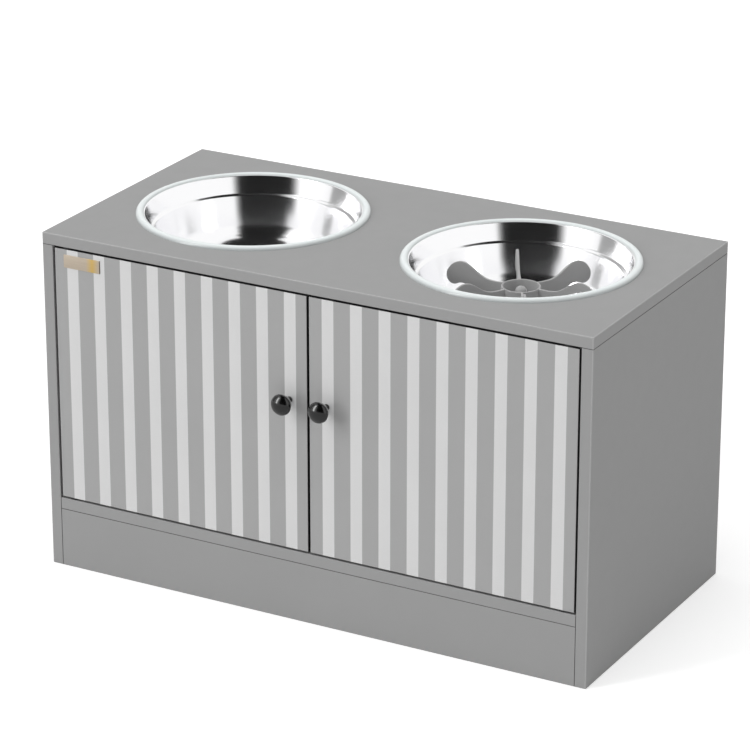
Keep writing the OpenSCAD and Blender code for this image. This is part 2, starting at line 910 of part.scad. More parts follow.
// Rubber cup whose stem is pushed up into the post
module suction_cup() {
    color(soft_grey)
        translate([bowl_x, bowl_y, insert_floor_z]) {
            rotate_extrude()
                polygon([
                    [0, skirt_cup],
                    [skirt_r, 0],
                    [skirt_r, skirt_t / 2],
                    [stem_r + skirt_t, skirt_cup + skirt_t],
                    [stem_r + skirt_t, hub_floor_rise - slide_fit],
                    [0, hub_floor_rise - slide_fit]
                ]);
            translate([0, 0, hub_floor_rise - slide_fit - overrun])
                cylinder(r = stem_r, h = stem_seat + slide_fit + overrun);
        }
}

top_panel();
left_side_panel();
right_side_panel();
bottom_panel();
plinth_board();
back_panel();
cam_locks();
cam_bolts();
dowels();
pivot_bushes();
catch_housing();
catch_magnets();
catch_pole_plates();
catch_screws();
left_door_panel();
left_knob();
left_knob_screw();
left_pivot_pins();
left_strike_plate();
left_strike_screw();
right_door_panel();
right_knob();
right_knob_screw();
right_pivot_pins();
right_strike_plate();
right_strike_screw();
left_bowl();
left_rim_ring();
right_bowl();
right_rim_ring();
slow_feed_insert();
suction_cup();
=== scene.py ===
"""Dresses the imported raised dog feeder: film boards, spun bowls, moulded insert, knobs, plate and studio."""

import json
import logging
import math
from collections.abc import Callable, Sequence
from dataclasses import dataclass
from enum import Enum
from itertools import combinations

import bmesh
import bpy
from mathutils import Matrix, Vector

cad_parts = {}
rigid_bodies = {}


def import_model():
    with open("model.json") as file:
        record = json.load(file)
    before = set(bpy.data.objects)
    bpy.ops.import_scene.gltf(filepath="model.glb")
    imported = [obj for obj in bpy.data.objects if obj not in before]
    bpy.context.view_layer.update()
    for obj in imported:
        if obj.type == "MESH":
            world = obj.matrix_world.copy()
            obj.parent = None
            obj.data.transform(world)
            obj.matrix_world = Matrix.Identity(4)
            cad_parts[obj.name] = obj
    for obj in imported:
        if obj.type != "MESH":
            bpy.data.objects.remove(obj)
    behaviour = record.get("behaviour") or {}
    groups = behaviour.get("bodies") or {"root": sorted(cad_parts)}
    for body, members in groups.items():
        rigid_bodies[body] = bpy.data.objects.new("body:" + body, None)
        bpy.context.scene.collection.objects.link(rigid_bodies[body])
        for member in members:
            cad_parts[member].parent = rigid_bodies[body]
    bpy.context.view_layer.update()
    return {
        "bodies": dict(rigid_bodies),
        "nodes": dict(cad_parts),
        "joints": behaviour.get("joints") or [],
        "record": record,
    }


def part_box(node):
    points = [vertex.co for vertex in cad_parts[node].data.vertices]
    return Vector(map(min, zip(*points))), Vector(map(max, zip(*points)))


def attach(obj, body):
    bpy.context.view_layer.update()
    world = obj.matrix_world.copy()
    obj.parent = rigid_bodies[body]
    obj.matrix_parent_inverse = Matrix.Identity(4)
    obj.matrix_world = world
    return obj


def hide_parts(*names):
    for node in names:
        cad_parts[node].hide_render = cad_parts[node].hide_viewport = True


LOG = logging.getLogger("feeder")
MM = 0.001
TURN_STEPS = 192

# How near two points are one, and the cosine past which a face looks one way
SAME_POINT = 0.01 * MM
FACING = 0.9

Point = tuple[float, float]
Triple = tuple[float, float, float]
Colour = tuple[float, float, float, float]


def display(red: float, green: float, blue: float) -> Colour:
    """Turns a display colour into the linear colour that shaders take.

    Args:
        red: Red from 0 to 255.
        green: Green from 0 to 255.
        blue: Blue from 0 to 255.

    Returns:
        The linear colour, with full alpha.
    """

    def linear(level: float) -> float:
        """Gives one channel's linear value."""
        share = level / 255
        return share / 12.92 if share <= 0.04045 else ((share + 0.055) / 1.055) ** 2.4

    return linear(red), linear(green), linear(blue), 1.0


def grey(level: float) -> Colour:
    """Gives the linear colour of a display grey from 0 to 255."""
    return display(level, level, level)


class Side(Enum):
    """Which half of the cabinet a piece belongs to."""

    LEFT = -1
    RIGHT = 1

    @property
    def word(self) -> str:
        """The side's name as the nodes have it."""
        return self.name.lower()


class Run(Enum):
    """Way in which brush lines or wood fibres run, as the stretch of their noise along X, Y and Z."""

    ALONG_X = (0.02, 1.0, 1.0)
    ALONG_Z = (1.0, 1.0, 0.02)
    EVEN = (1.0, 1.0, 1.0)


# Modelling


class Bench:
    """Modelling steps that more than one piece needs."""

    @staticmethod
    def clear() -> None:
        """Leaves edit mode and deselects everything."""
        active = bpy.context.view_layer.objects.active
        if active is not None and active.mode != "OBJECT":
            bpy.ops.object.mode_set(mode="OBJECT")
        bpy.ops.object.select_all(action="DESELECT")

    @staticmethod
    def take(piece: bpy.types.Object) -> None:
        """Selects one piece alone and makes it active.

        Args:
            piece: The piece.
        """
        Bench.clear()
        piece.select_set(True)
        bpy.context.view_layer.objects.active = piece

    @staticmethod
    def fresh(name: str) -> bpy.types.Object:
        """Names the primitive that was just added and opens it, all selected, in edit mode.

        Args:
            name: The new piece's name.

        Returns:
            The new piece.
        """
        piece = bpy.context.view_layer.objects.active
        piece.name = name
        piece.data.name = name
        bpy.ops.object.mode_set(mode="EDIT")
        bpy.ops.mesh.select_all(action="SELECT")
        return piece

    @staticmethod
    def select_edges(piece: bpy.types.Object, test: Callable[[Vector, Vector], bool]) -> None:
        """Selects the edges whose two ends pass a test, in edit mode.

        Args:
            piece: The piece in edit mode.
            test: Tells from an edge's two ends whether it is wanted.
        """
        bpy.ops.mesh.select_mode(type="EDGE")
        bpy.ops.mesh.select_all(action="DESELECT")
        mesh = bmesh.from_edit_mesh(piece.data)
        for edge in mesh.edges:
            edge.select_set(test(edge.verts[0].co, edge.verts[1].co))
        bmesh.update_edit_mesh(piece.data)

    @staticmethod
    def select_faces(piece: bpy.types.Object, test: Callable[[Vector, Vector], bool]) -> None:
        """Selects the faces whose centre and normal pass a test, in edit mode.

        Args:
            piece: The piece in edit mode.
            test: Tells from a face's centre and normal whether it is wanted.
        """
        bpy.ops.mesh.select_mode(type="FACE")
        bpy.ops.mesh.select_all(action="DESELECT")
        mesh = bmesh.from_edit_mesh(piece.data)
        for face in mesh.faces:
            face.select_set(test(face.calc_center_median(), face.normal))
        bmesh.update_edit_mesh(piece.data)

    @staticmethod
    def face_out() -> None:
        """Selects all and turns every face outwards, in edit mode."""
        bpy.ops.mesh.select_all(action="SELECT")
        bpy.ops.mesh.normals_make_consistent(inside=False)

    @staticmethod
    def turned(name: str, outline: Sequence[Point]) -> bpy.types.Object:
        """Turns an outline round Z: a circle is added, extruded and resized from point to point.

        Args:
            name: The piece's name.
            outline: Radius and height of each point, in metres.

        Returns:
            The piece, with both ends closed, in edit mode and with its middle at the origin.
        """
        Bench.clear()
        radius, height = outline[0]
        bpy.ops.mesh.primitive_circle_add(
            vertices=TURN_STEPS, radius=radius, location=(0, 0, height), fill_type="NOTHING"
        )
        bpy.ops.object.transform_apply(location=True, rotation=True, scale=True)
        piece = Bench.fresh(name)
        for next_radius, next_height in outline[1:]:
            bpy.ops.mesh.extrude_edges_move(
                TRANSFORM_OT_translate={"value": (0, 0, next_height - height)}
            )
            share = next_radius / radius
            bpy.ops.transform.resize(value=(share, share, 1), center_override=(0, 0, next_height))
            radius, height = next_radius, next_height
        bpy.ops.mesh.select_all(action="SELECT")
        bpy.ops.mesh.fill_holes(sides=0)
        Bench.face_out()
        return piece

    @staticmethod
    def round_corner(piece: bpy.types.Object, corner: Point, width: float, steps: int) -> None:
        """Rounds the ring of edges at one corner of a turned piece, in edit mode.

        Args:
            piece: The turned piece.
            corner: Radius and height of the ring.
            width: Distance from the ring at which the rounding starts.
            steps: Faces across the rounding.
        """

        def on_ring(first: Vector, second: Vector) -> bool:
            """Tells whether an edge lies on the ring.

            Args:
                first: One end of the edge.
                second: Its other end.

            Returns:
                Whether both ends lie on the ring.
            """
            return all(
                abs(end.xy.length - corner[0]) < SAME_POINT and abs(end.z - corner[1]) < SAME_POINT
                for end in (first, second)
            )

        Bench.select_edges(piece, on_ring)
        bpy.ops.mesh.bevel(
            offset_type="OFFSET", offset=width, segments=steps, profile=0.5, affect="EDGES"
        )

    @staticmethod
    def modify(piece: bpy.types.Object, kind: str, **values: object) -> None:
        """Adds a modifier and applies it.

        Args:
            piece: The piece to change.
            kind: The modifier's type.
            **values: The modifier's settings.
        """
        Bench.take(piece)
        modifier = piece.modifiers.new(kind.title(), kind)
        for key, value in values.items():
            setattr(modifier, key, value)
        bpy.ops.object.modifier_apply(modifier=modifier.name)

    @staticmethod
    def place(piece: bpy.types.Object, place: Vector, turn: Triple = (0.0, 0.0, 0.0)) -> None:
        """Turns and moves a piece and writes its place into its mesh.

        Args:
            piece: The piece to place.
            place: Where its origin goes, in metres.
            turn: Its turn about X, Y and Z, in degrees.
        """
        Bench.take(piece)
        piece.rotation_euler = [math.radians(angle) for angle in turn]
        piece.location = place
        bpy.ops.object.transform_apply(location=True, rotation=True, scale=True)

    @staticmethod
    def smooth(piece: bpy.types.Object, angle: float) -> None:
        """Shades a piece smooth, with edges sharper than an angle in degrees kept."""
        Bench.take(piece)
        bpy.ops.object.shade_smooth_by_angle(angle=math.radians(angle))


def tangent_length(before: Point, corner: Point, after: Point, radius: float) -> float:
    """Tells how far from a corner its rounding starts.

    Args:
        before: The point before the corner.
        corner: The corner.
        after: The point after the corner.
        radius: The rounding's radius.

    Returns:
        The distance from the corner along either side.
    """
    first = Vector(before) - Vector(corner)
    second = Vector(after) - Vector(corner)
    return radius / math.tan(first.angle(second) / 2)


def arc(centre: Point, radius: Point, start: float, end: float, steps: int) -> list[Point]:
    """Points along an arc of a circle or an ellipse.

    Args:
        centre: The arc's centre.
        radius: Its half width and half height.
        start: The first point's angle, in degrees.
        end: The last point's angle, in degrees.
        steps: The number of stretches.

    Returns:
        The points, the two ends included.
    """
    angles = [math.radians(start + (end - start) * i / steps) for i in range(steps + 1)]
    return [(centre[0] + radius[0] * math.cos(a), centre[1] + radius[1] * math.sin(a)) for a in angles]


def beside(corner: Point, offsets: Sequence[Point]) -> list[Point]:
    """Points near a corner.

    Args:
        corner: The corner's radius and height, in metres.
        offsets: How much further out and up each point is, in millimetres.

    Returns:
        The points, in metres.
    """
    return [(corner[0] + out * MM, corner[1] + up * MM) for out, up in offsets]


# Finishes


class Graph:
    """A node tree, with short ways to add nodes and to wire them."""

    def __init__(self, tree: bpy.types.NodeTree) -> None:
        """Keeps the tree."""
        self.tree = tree

    def add(self, kind: str, **settings: object) -> bpy.types.Node:
        """Adds a node.

        Args:
            kind: The node's type, without its Shader Node prefix.
            **settings: The node's own settings.

        Returns:
            The new node.
        """
        node = self.tree.nodes.new("ShaderNode" + kind)
        for key, value in settings.items():
            setattr(node, key, value)
        return node

    def wire(self, source: bpy.types.NodeSocket, target: bpy.types.NodeSocket) -> None:
        """Links an output to an input."""
        self.tree.links.new(source, target)

    def feed(self, term: object, target: bpy.types.NodeSocket) -> None:
        """Links an input where the term is an output, and otherwise gives it the term as its value.

        Args:
            term: An output socket or a value.
            target: The input.
        """
        if isinstance(term, bpy.types.NodeSocket):
            self.wire(term, target)
        else:
            target.default_value = term

    def math(self, operation: str, *terms: object) -> bpy.types.NodeSocket:
        """Adds a sum of numbers or sockets.

        Args:
            operation: The Math node's operation.
            *terms: Its inputs, each a number or an output socket.

        Returns:
            The result's socket.
        """
        node = self.add("Math", operation=operation)
        for socket, term in zip(node.inputs, terms):
            self.feed(term, socket)
        return node.outputs[0]

    def chain(self, operation: str, first: object, *terms: object) -> bpy.types.NodeSocket:
        """Applies one operation to a first term and each further one in turn.

        Args:
            operation: The Math nodes' operation.
            first: The first term, a number or a socket.
            *terms: The further terms.

        Returns:
            The result's socket.
        """
        for term in terms:
            first = self.math(operation, first, term)
        return first

    def axes(self, vector: bpy.types.NodeSocket) -> bpy.types.NodeOutputs:
        """Splits a vector into its X, Y and Z.

        Args:
            vector: The vector.

        Returns:
            Its three parts, by name.
        """
        node = self.add("SeparateXYZ")
        self.wire(vector, node.inputs[0])
        return node.outputs

    def noise(self, vector: bpy.types.NodeSocket, scale: object, detail: float) -> bpy.types.NodeSocket:
        """Adds noise over a vector.

        Args:
            vector: The place that is read.
            scale: Cells for each metre, a number or a socket.
            detail: Octaves.

        Returns:
            The noise from 0 to 1.
        """
        node = self.add("TexNoise")
        node.inputs["Detail"].default_value = detail
        self.feed(scale, node.inputs["Scale"])
        self.wire(vector, node.inputs["Vector"])
        return node.outputs["Fac"]

    def spread(
        self, value: bpy.types.NodeSocket, low: object, high: object, start: float = 0.3, end: float = 0.7
    ) -> bpy.types.NodeSocket:
        """Maps a value that runs from start to end onto low to high.

        Args:
            value: The value to map. Noise runs from about 0.3 to 0.7.
            low: The result at start, a number or a socket.
            high: The result at end, a number or a socket.
            start: Where the value starts.
            end: Where the value ends.

        Returns:
            The mapped value.
        """
        node = self.add("MapRange")
        self.wire(value, node.inputs["Value"])
        for key, term in (("From Min", start), ("From Max", end), ("To Min", low), ("To Max", high)):
            self.feed(term, node.inputs[key])
        return node.outputs["Result"]

    def vary(self, noise: bpy.types.NodeSocket, middle: object, amount: object) -> bpy.types.NodeSocket:
        """Maps noise onto a middle value, give or take an amount."""
        low = self.math("SUBTRACT", middle, amount)
        return self.spread(noise, low, self.math("ADD", middle, amount))

    def blend(self, mask: bpy.types.NodeSocket, low: object, high: object) -> bpy.types.NodeSocket:
        """Mixes two colours by a mask.

        Args:
            mask: The share of the second colour.
            low: The colour where the mask is 0, a value or a socket.
            high: The colour where the mask is 1, a value or a socket.

        Returns:
            The mixed colour.
        """
        mix = self.add("Mix", data_type="RGBA")
        self.wire(mask, mix.inputs["Factor"])
        ends = [socket for socket in mix.inputs if socket.type == "RGBA"]
        for socket, term in zip(ends, (low, high)):
            self.feed(term, socket)
        return next(socket for socket in mix.outputs if socket.type == "RGBA")

    def tint(self, colour: object, factor: bpy.types.NodeSocket) -> bpy.types.NodeSocket:
        """Makes a colour lighter or darker by a factor.

        Args:
            colour: The colour, a socket or its red, green and blue.
            factor: What it is multiplied by.

        Returns:
            The new colour.
        """
        node = self.add("VectorMath", operation="SCALE")
        self.feed(colour, node.inputs[0])
        self.wire(factor, node.inputs["Scale"])
        return node.outputs["Vector"]


class Effect(Enum):
    """Effects that several finishes share. Each is built once, as a node group."""

    FILM = "film_texture"
    STRIPES = "printed_stripes"
    TURNED_LINES = "turned_lines"
    FIBRES = "fibres"
    WEAR = "handling_wear"
    JOINTS = "board_joints"
    EDGE_BAND = "edge_band"


class Effects:
    """Builds the shared node groups."""

    NUMBER = "NodeSocketFloat"
    COLOUR = "NodeSocketColor"
    VECTOR = "NodeSocketVector"

    # Cells for each metre and octaves of the noises, and how far they move a colour or a roughness
    MOTTLES = (14.0, 4.0)
    RINGS = (2600.0, 3.0)
    SMEARS = (22.0, 3.0)
    PATCHES = (60.0, 5.0)
    PEBBLE_DETAIL = 3.0
    FIBRE_DETAIL = 4.0
    SPECKLE = 0.015
    MOTTLE_SHEEN = 0.08
    FIBRE_SHEEN = 0.15

    # Noise at which wear starts and is full, and the share of a seam's or painted highlight's reach with its
    # full tone
    WORN = (0.45, 0.65)
    SOLID = 0.6

    def __init__(self) -> None:
        """Builds every effect."""
        self.groups: dict[Effect, bpy.types.NodeTree] = {}
        self._film()
        self._stripes()
        self._turned_lines()
        self._fibres()
        self._wear()
        self._joints()
        self._edge_band()

    def _numbers(self, *names: str) -> dict[str, str]:
        """Gives each name the number's socket type."""
        return dict.fromkeys(names, self.NUMBER)

    def _group(
        self, effect: Effect, inputs: dict[str, str], outputs: dict[str, str]
    ) -> tuple[Graph, bpy.types.NodeOutputs, bpy.types.NodeInputs]:
        """Starts a node group.

        Args:
            effect: The effect that it makes.
            inputs: Socket types by name, besides the vector.
            outputs: Socket types by name.

        Returns:
            The group's nodes, the sockets that come in and those that go out.
        """
        tree = bpy.data.node_groups.new(effect.value, "ShaderNodeTree")
        self.groups[effect] = tree
        for name, kind in {"Vector": self.VECTOR, **inputs}.items():
            tree.interface.new_socket(name=name, in_out="INPUT", socket_type=kind)
        for name, kind in outputs.items():
            tree.interface.new_socket(name=name, in_out="OUTPUT", socket_type=kind)
        entry = tree.nodes.new("NodeGroupInput")
        leave = tree.nodes.new("NodeGroupOutput")
        return Graph(tree), entry.outputs, leave.inputs

    def _film(self) -> None:
        """Fine pebble and faint mottling of a matt skin."""
        graph, into, out = self._group(
            Effect.FILM,
            {"Color": self.COLOUR, **self._numbers("Grain Size", "Mottle", "Roughness")},
            {"Color": self.COLOUR, **self._numbers("Roughness", "Height")},
        )
        broad = graph.noise(into["Vector"], *self.MOTTLES)
        fineness = graph.math("DIVIDE", 1.0, into["Grain Size"])
        fine = graph.noise(into["Vector"], fineness, self.PEBBLE_DETAIL)
        mottled = graph.tint(into["Color"], graph.vary(broad, 1.0, into["Mottle"]))
        graph.wire(graph.tint(mottled, graph.vary(fine, 1.0, self.SPECKLE)), out["Color"])
        sheen = graph.vary(broad, 1.0, self.MOTTLE_SHEEN)
        graph.wire(graph.math("MULTIPLY", into["Roughness"], sheen), out["Roughness"])
        graph.wire(fine, out["Height"])

    def _stripes(self) -> None:
        """Upright printed stripes on the face of a door."""
        graph, into, out = self._group(
            Effect.STRIPES, self._numbers("Start", "Pitch", "Width", "Count", "Face"), self._numbers("Mask")
        )
        axes = graph.axes(into["Vector"])
        steps = graph.math("DIVIDE", graph.math("SUBTRACT", axes["X"], into["Start"]), into["Pitch"])
        share = graph.math("DIVIDE", into["Width"], into["Pitch"])
        mask = graph.chain(
            "MULTIPLY",
            graph.math("LESS_THAN", graph.math("FRACT", steps), share),
            graph.math("GREATER_THAN", steps, 0.0),
            graph.math("LESS_THAN", steps, into["Count"]),
            graph.math("LESS_THAN", axes["Y"], into["Face"]),
        )
        graph.wire(mask, out["Mask"])

    def _turned_lines(self) -> None:
        """Fine rings that polishing leaves on metal turned about Z."""
        graph, into, out = self._group(
            Effect.TURNED_LINES, self._numbers("Roughness", "Spread"), self._numbers("Roughness", "Height")
        )
        axes = graph.axes(into["Vector"])
        squares = [graph.math("POWER", axes[axis], 2.0) for axis in ("X", "Y")]
        rings = graph.add("CombineXYZ")
        graph.wire(graph.math("SQRT", graph.math("ADD", *squares)), rings.inputs["X"])
        graph.wire(axes["Z"], rings.inputs["Y"])
        lines = graph.noise(rings.outputs[0], *self.RINGS)
        smears = graph.noise(into["Vector"], *self.SMEARS)
        both = graph.math("ADD", *(graph.math("MULTIPLY", noise, 0.5) for noise in (lines, smears)))
        graph.wire(graph.vary(both, into["Roughness"], into["Spread"]), out["Roughness"])
        graph.wire(lines, out["Height"])

    def _fibres(self) -> None:
        """Stretched noise: brush lines in metal or fibres in wood."""
        graph, into, out = self._group(
            Effect.FIBRES,
            {
                "Color": self.COLOUR,
                "Stretch": self.VECTOR,
                **self._numbers("Fineness", "Contrast", "Roughness"),
            },
            {"Color": self.COLOUR, **self._numbers("Roughness", "Height")},
        )
        stretched = graph.add("VectorMath", operation="MULTIPLY")
        graph.wire(into["Vector"], stretched.inputs[0])
        graph.wire(into["Stretch"], stretched.inputs[1])
        lines = graph.noise(stretched.outputs[0], into["Fineness"], self.FIBRE_DETAIL)
        graph.wire(graph.tint(into["Color"], graph.vary(lines, 1.0, into["Contrast"])), out["Color"])
        sheen = graph.vary(lines, 1.0, self.FIBRE_SHEEN)
        graph.wire(graph.math("MULTIPLY", into["Roughness"], sheen), out["Roughness"])
        graph.wire(lines, out["Height"])

    def _wear(self) -> None:
        """Faint patches where hands have dulled or polished a skin."""
        graph, into, out = self._group(
            Effect.WEAR, self._numbers("Roughness", "Amount"), self._numbers("Roughness")
        )
        patches = graph.noise(into["Vector"], *self.PATCHES)
        mask = graph.spread(patches, 0.0, 1.0, *self.WORN)
        added = graph.math("MULTIPLY", mask, into["Amount"])
        graph.wire(graph.math("ADD", into["Roughness"], added), out["Roughness"])

    def _joints(self) -> None:
        """Painted shade in the seams between the boards, and a painted highlight along the outer edges."""
        planes = ("Front", "Side", "Top", "Inner", "Under Top", "Floor Under")
        graph, into, out = self._group(
            Effect.JOINTS, self._numbers(*planes, "Seam", "Fold"), self._numbers("Seam", "Fold")
        )
        axes = graph.axes(into["Vector"])
        across, height = graph.math("ABSOLUTE", axes["X"]), axes["Z"]

        def close(value: bpy.types.NodeSocket, plane: str, reach: str) -> bpy.types.NodeSocket:
            """Runs from 1 at a plane to 0 at its reach.

            Args:
                value: The place across the plane.
                plane: The input that holds the plane's own place.
                reach: The input that holds its reach.

            Returns:
                How close the place is.
            """
            away = graph.math("ABSOLUTE", graph.math("SUBTRACT", value, into[plane]))
            share = graph.math("DIVIDE", away, into[reach])
            return graph.spread(share, 1.0, 0.0, start=self.SOLID, end=1.0)

        under_top = graph.math("LESS_THAN", height, into["Under Top"])
        inside = graph.math("LESS_THAN", across, into["Inner"])
        upright = graph.math("MULTIPLY", close(across, "Inner", "Seam"), under_top)
        low = graph.math("MULTIPLY", close(height, "Floor Under", "Seam"), inside)
        high = close(height, "Under Top", "Seam")
        in_front = graph.chain("MAXIMUM", upright, low, high)
        on_front = graph.math("MULTIPLY", in_front, close(axes["Y"], "Front", "Seam"))
        on_side = graph.math("MULTIPLY", high, close(across, "Side", "Seam"))
        graph.wire(graph.math("MAXIMUM", on_front, on_side), out["Seam"])
        # Painted highlight: paler film where two outer faces meet, standing in for light on the rounded edge
        faces = ((axes["Y"], "Front"), (across, "Side"), (height, "Top"))
        near = [close(value, plane, "Fold") for value, plane in faces]
        highlights = [graph.math("MULTIPLY", one, other) for one, other in combinations(near, 2)]
        graph.wire(graph.chain("MAXIMUM", *highlights), out["Fold"])

    def _edge_band(self) -> None:
        """Painted shade on the narrow edges of a door, where the gaps round it are dark."""
        graph, into, out = self._group(
            Effect.EDGE_BAND, self._numbers("Left", "Right", "Bottom", "Top", "Reach"), self._numbers("Mask")
        )
        axes = graph.axes(into["Vector"])
        least = graph.chain(
            "MINIMUM",
            graph.math("SUBTRACT", axes["X"], into["Left"]),
            graph.math("SUBTRACT", into["Right"], axes["X"]),
            graph.math("SUBTRACT", axes["Z"], into["Bottom"]),
            graph.math("SUBTRACT", into["Top"], axes["Z"]),
        )
        graph.wire(graph.math("LESS_THAN", least, into["Reach"]), out["Mask"])


@dataclass(frozen=True)
class Canvas:
    """A material in the making: its nodes, its shader, the place on the object and the shared effects."""

    graph: Graph
    shader: bpy.types.Node
    place: bpy.types.NodeSocket
    effects: Effects

    def effect(self, effect: Effect, **values: object) -> bpy.types.NodeOutputs:
        """Places an effect, which reads the place on the object unless a Vector is among its values.

        Args:
            effect: The effect.
            **values: Its inputs, with underscores for spaces, each a value or a socket.

        Returns:
            The effect's outputs.
        """
        node = self.graph.add("Group", node_tree=self.effects.groups[effect])
        for key, value in {"Vector": self.place, **values}.items():
            self.graph.feed(value, node.inputs[key.replace("_", " ")])
        return node.outputs

    def cover(self, skin: bpy.types.NodeOutputs, roughness: bpy.types.NodeSocket, bump: float) -> None:
        """Feeds the shader a roughness, a skin's height through a Bump node, and its colour if it has one.

        Args:
            skin: The outputs of the effect that makes the skin.
            roughness: The roughness.
            bump: The height of its bumps, in metres.
        """
        node = self.graph.add("Bump")
        node.inputs["Strength"].default_value = 1.0
        node.inputs["Distance"].default_value = bump
        self.graph.wire(skin["Height"], node.inputs["Height"])
        self.graph.wire(node.outputs["Normal"], self.shader.inputs["Normal"])
        self.graph.wire(roughness, self.shader.inputs["Roughness"])
        if "Color" in skin:
            self.graph.wire(skin["Color"], self.shader.inputs["Base Color"])


@dataclass(frozen=True)
class Finish:
    """What every finish has: a name and the constant values of its shader."""

    name: str
    colour: Colour
    roughness: float
    metallic: float = 0.0
    specular: float = 0.5
    coat: float = 0.0
    coat_roughness: float = 0.1
    bump: float = 0.0

    def build(self, effects: Effects) -> bpy.types.Material:
        """Makes the material.

        Args:
            effects: The shared node groups.

        Returns:
            The material.
        """
        material = bpy.data.materials.new(self.name)
        material.use_nodes = True
        material.diffuse_color = self.colour
        graph = Graph(material.node_tree)
        shader = material.node_tree.nodes["Principled BSDF"]
        shader.inputs["Metallic"].default_value = self.metallic
        shader.inputs["Specular IOR Level"].default_value = self.specular
        shader.inputs["Coat Weight"].default_value = self.coat
        shader.inputs["Coat Roughness"].default_value = self.coat_roughness
        shader.inputs["Base Color"].default_value = self.colour
        self.dress(Canvas(graph, shader, graph.add("TexCoord").outputs["Object"], effects))
        return material

    def dress(self, canvas: Canvas) -> None:
        """Adds what varies over the surface. Each kind of finish has its own.

        Args:
            canvas: The material in the making.
        """
        raise NotImplementedError

    def ground(self, canvas: Canvas) -> object:
        """Gives the colour under the texture. Some finishes have one that varies.

        Args:
            canvas: The material in the making.

        Returns:
            The colour, a value or a socket.
        """
        return self.colour


@dataclass(frozen=True)
class FilmFinish(Finish):
    """Matt skin with a fine pebble: printed film, moulded plastic, rubber, lacquer or magnet."""

    grain: float = 0.5 * MM
    mottle: float = 0.012
    wear: float = 0.04

    def dress(self, canvas: Canvas) -> None:
        """Adds the pebble, the mottling and the wear.

        Args:
            canvas: The material in the making.
        """
        film = canvas.effect(
            Effect.FILM,
            Color=self.ground(canvas),
            Grain_Size=self.grain,
            Mottle=self.mottle,
            Roughness=self.roughness,
        )
        worn = canvas.effect(Effect.WEAR, Roughness=film["Roughness"], Amount=self.wear)
        canvas.cover(film, worn["Roughness"], self.bump)


@dataclass(frozen=True)
class BoardFinish(FilmFinish):
    """Film on the cabinet's boards, with painted shade in the seams between them and a painted highlight on
    the outer edges.
    """

    front: float = 0.0
    side: float = 300 * MM
    top: float = 355 * MM
    inner: float = 288 * MM
    under_top: float = 343 * MM
    floor_under: float = 62 * MM
    # Reach and tone of the painted shade in the seams and of the painted highlight on the outer edges
    seam: float = 0.45 * MM
    fold: float = 1.3 * MM
    seam_tone: float = 0.2
    fold_tone: float = 1.22

    def ground(self, canvas: Canvas) -> bpy.types.NodeSocket:
        """Darkens the seams with painted shade and lightens the outer edges with a painted highlight.

        Args:
            canvas: The material in the making.

        Returns:
            The colour.
        """
        joints = canvas.effect(
            Effect.JOINTS,
            Front=self.front,
            Side=self.side,
            Top=self.top,
            Inner=self.inner,
            Under_Top=self.under_top,
            Floor_Under=self.floor_under,
            Seam=self.seam,
            Fold=self.fold,
        )
        graph = canvas.graph
        # Painted highlight on the outer edges and painted shade in the seams
        paler = graph.spread(joints["Fold"], 1.0, self.fold_tone, start=0.0, end=1.0)
        darker = graph.spread(joints["Seam"], 1.0, self.seam_tone, start=0.0, end=1.0)
        return graph.tint(self.colour[:3], graph.math("MULTIPLY", paler, darker))


@dataclass(frozen=True)
class RingFinish(FilmFinish):
    """Plastic of a raised ring, with shade on its flanks towards its foot."""

    foot: float = 355 * MM
    crest: float = 358.9 * MM
    foot_tone: float = 0.55

    def ground(self, canvas: Canvas) -> bpy.types.NodeSocket:
        """Darkens the flanks by the square of the height.

        Args:
            canvas: The material in the making.

        Returns:
            The colour.
        """
        graph = canvas.graph
        rise = graph.spread(graph.axes(canvas.place)["Z"], 0.0, 1.0, start=self.foot, end=self.crest)
        square = graph.math("MULTIPLY", rise, rise)
        return graph.tint(self.colour[:3], graph.spread(square, self.foot_tone, 1.0, start=0.0, end=1.0))


@dataclass(frozen=True)
class StripedFinish(FilmFinish):
    """Film printed with upright lighter stripes, and painted shade on the door's narrow edges, where the gaps
    are.
    """

    stripe: Colour = grey(218)
    start: float = 0.0
    pitch: float = 30.75 * MM
    width: float = 12.8 * MM
    count: int = 9
    face: float = 0.0
    left: float = 0.0
    right: float = 0.0
    bottom: float = 0.0
    top: float = 0.0
    # Near-black painted shade on the door's narrow edges, where the gaps round it are dark
    band: Colour = grey(46)
    band_reach: float = 0.12 * MM

    def ground(self, canvas: Canvas) -> bpy.types.NodeSocket:
        """Lays the stripes and the painted shade of the gaps over the film.

        Args:
            canvas: The material in the making.

        Returns:
            The colour.
        """
        stripes = canvas.effect(
            Effect.STRIPES,
            Start=self.start,
            Pitch=self.pitch,
            Width=self.width,
            Count=float(self.count),
            Face=self.face,
        )
        # Painted shade on the narrow edges, which show in the gaps
        edges = canvas.effect(
            Effect.EDGE_BAND,
            Left=self.left,
            Right=self.right,
            Bottom=self.bottom,
            Top=self.top,
            Reach=self.band_reach,
        )
        printed = canvas.graph.blend(stripes["Mask"], self.colour, self.stripe)
        return canvas.graph.blend(edges["Mask"], printed, self.band)


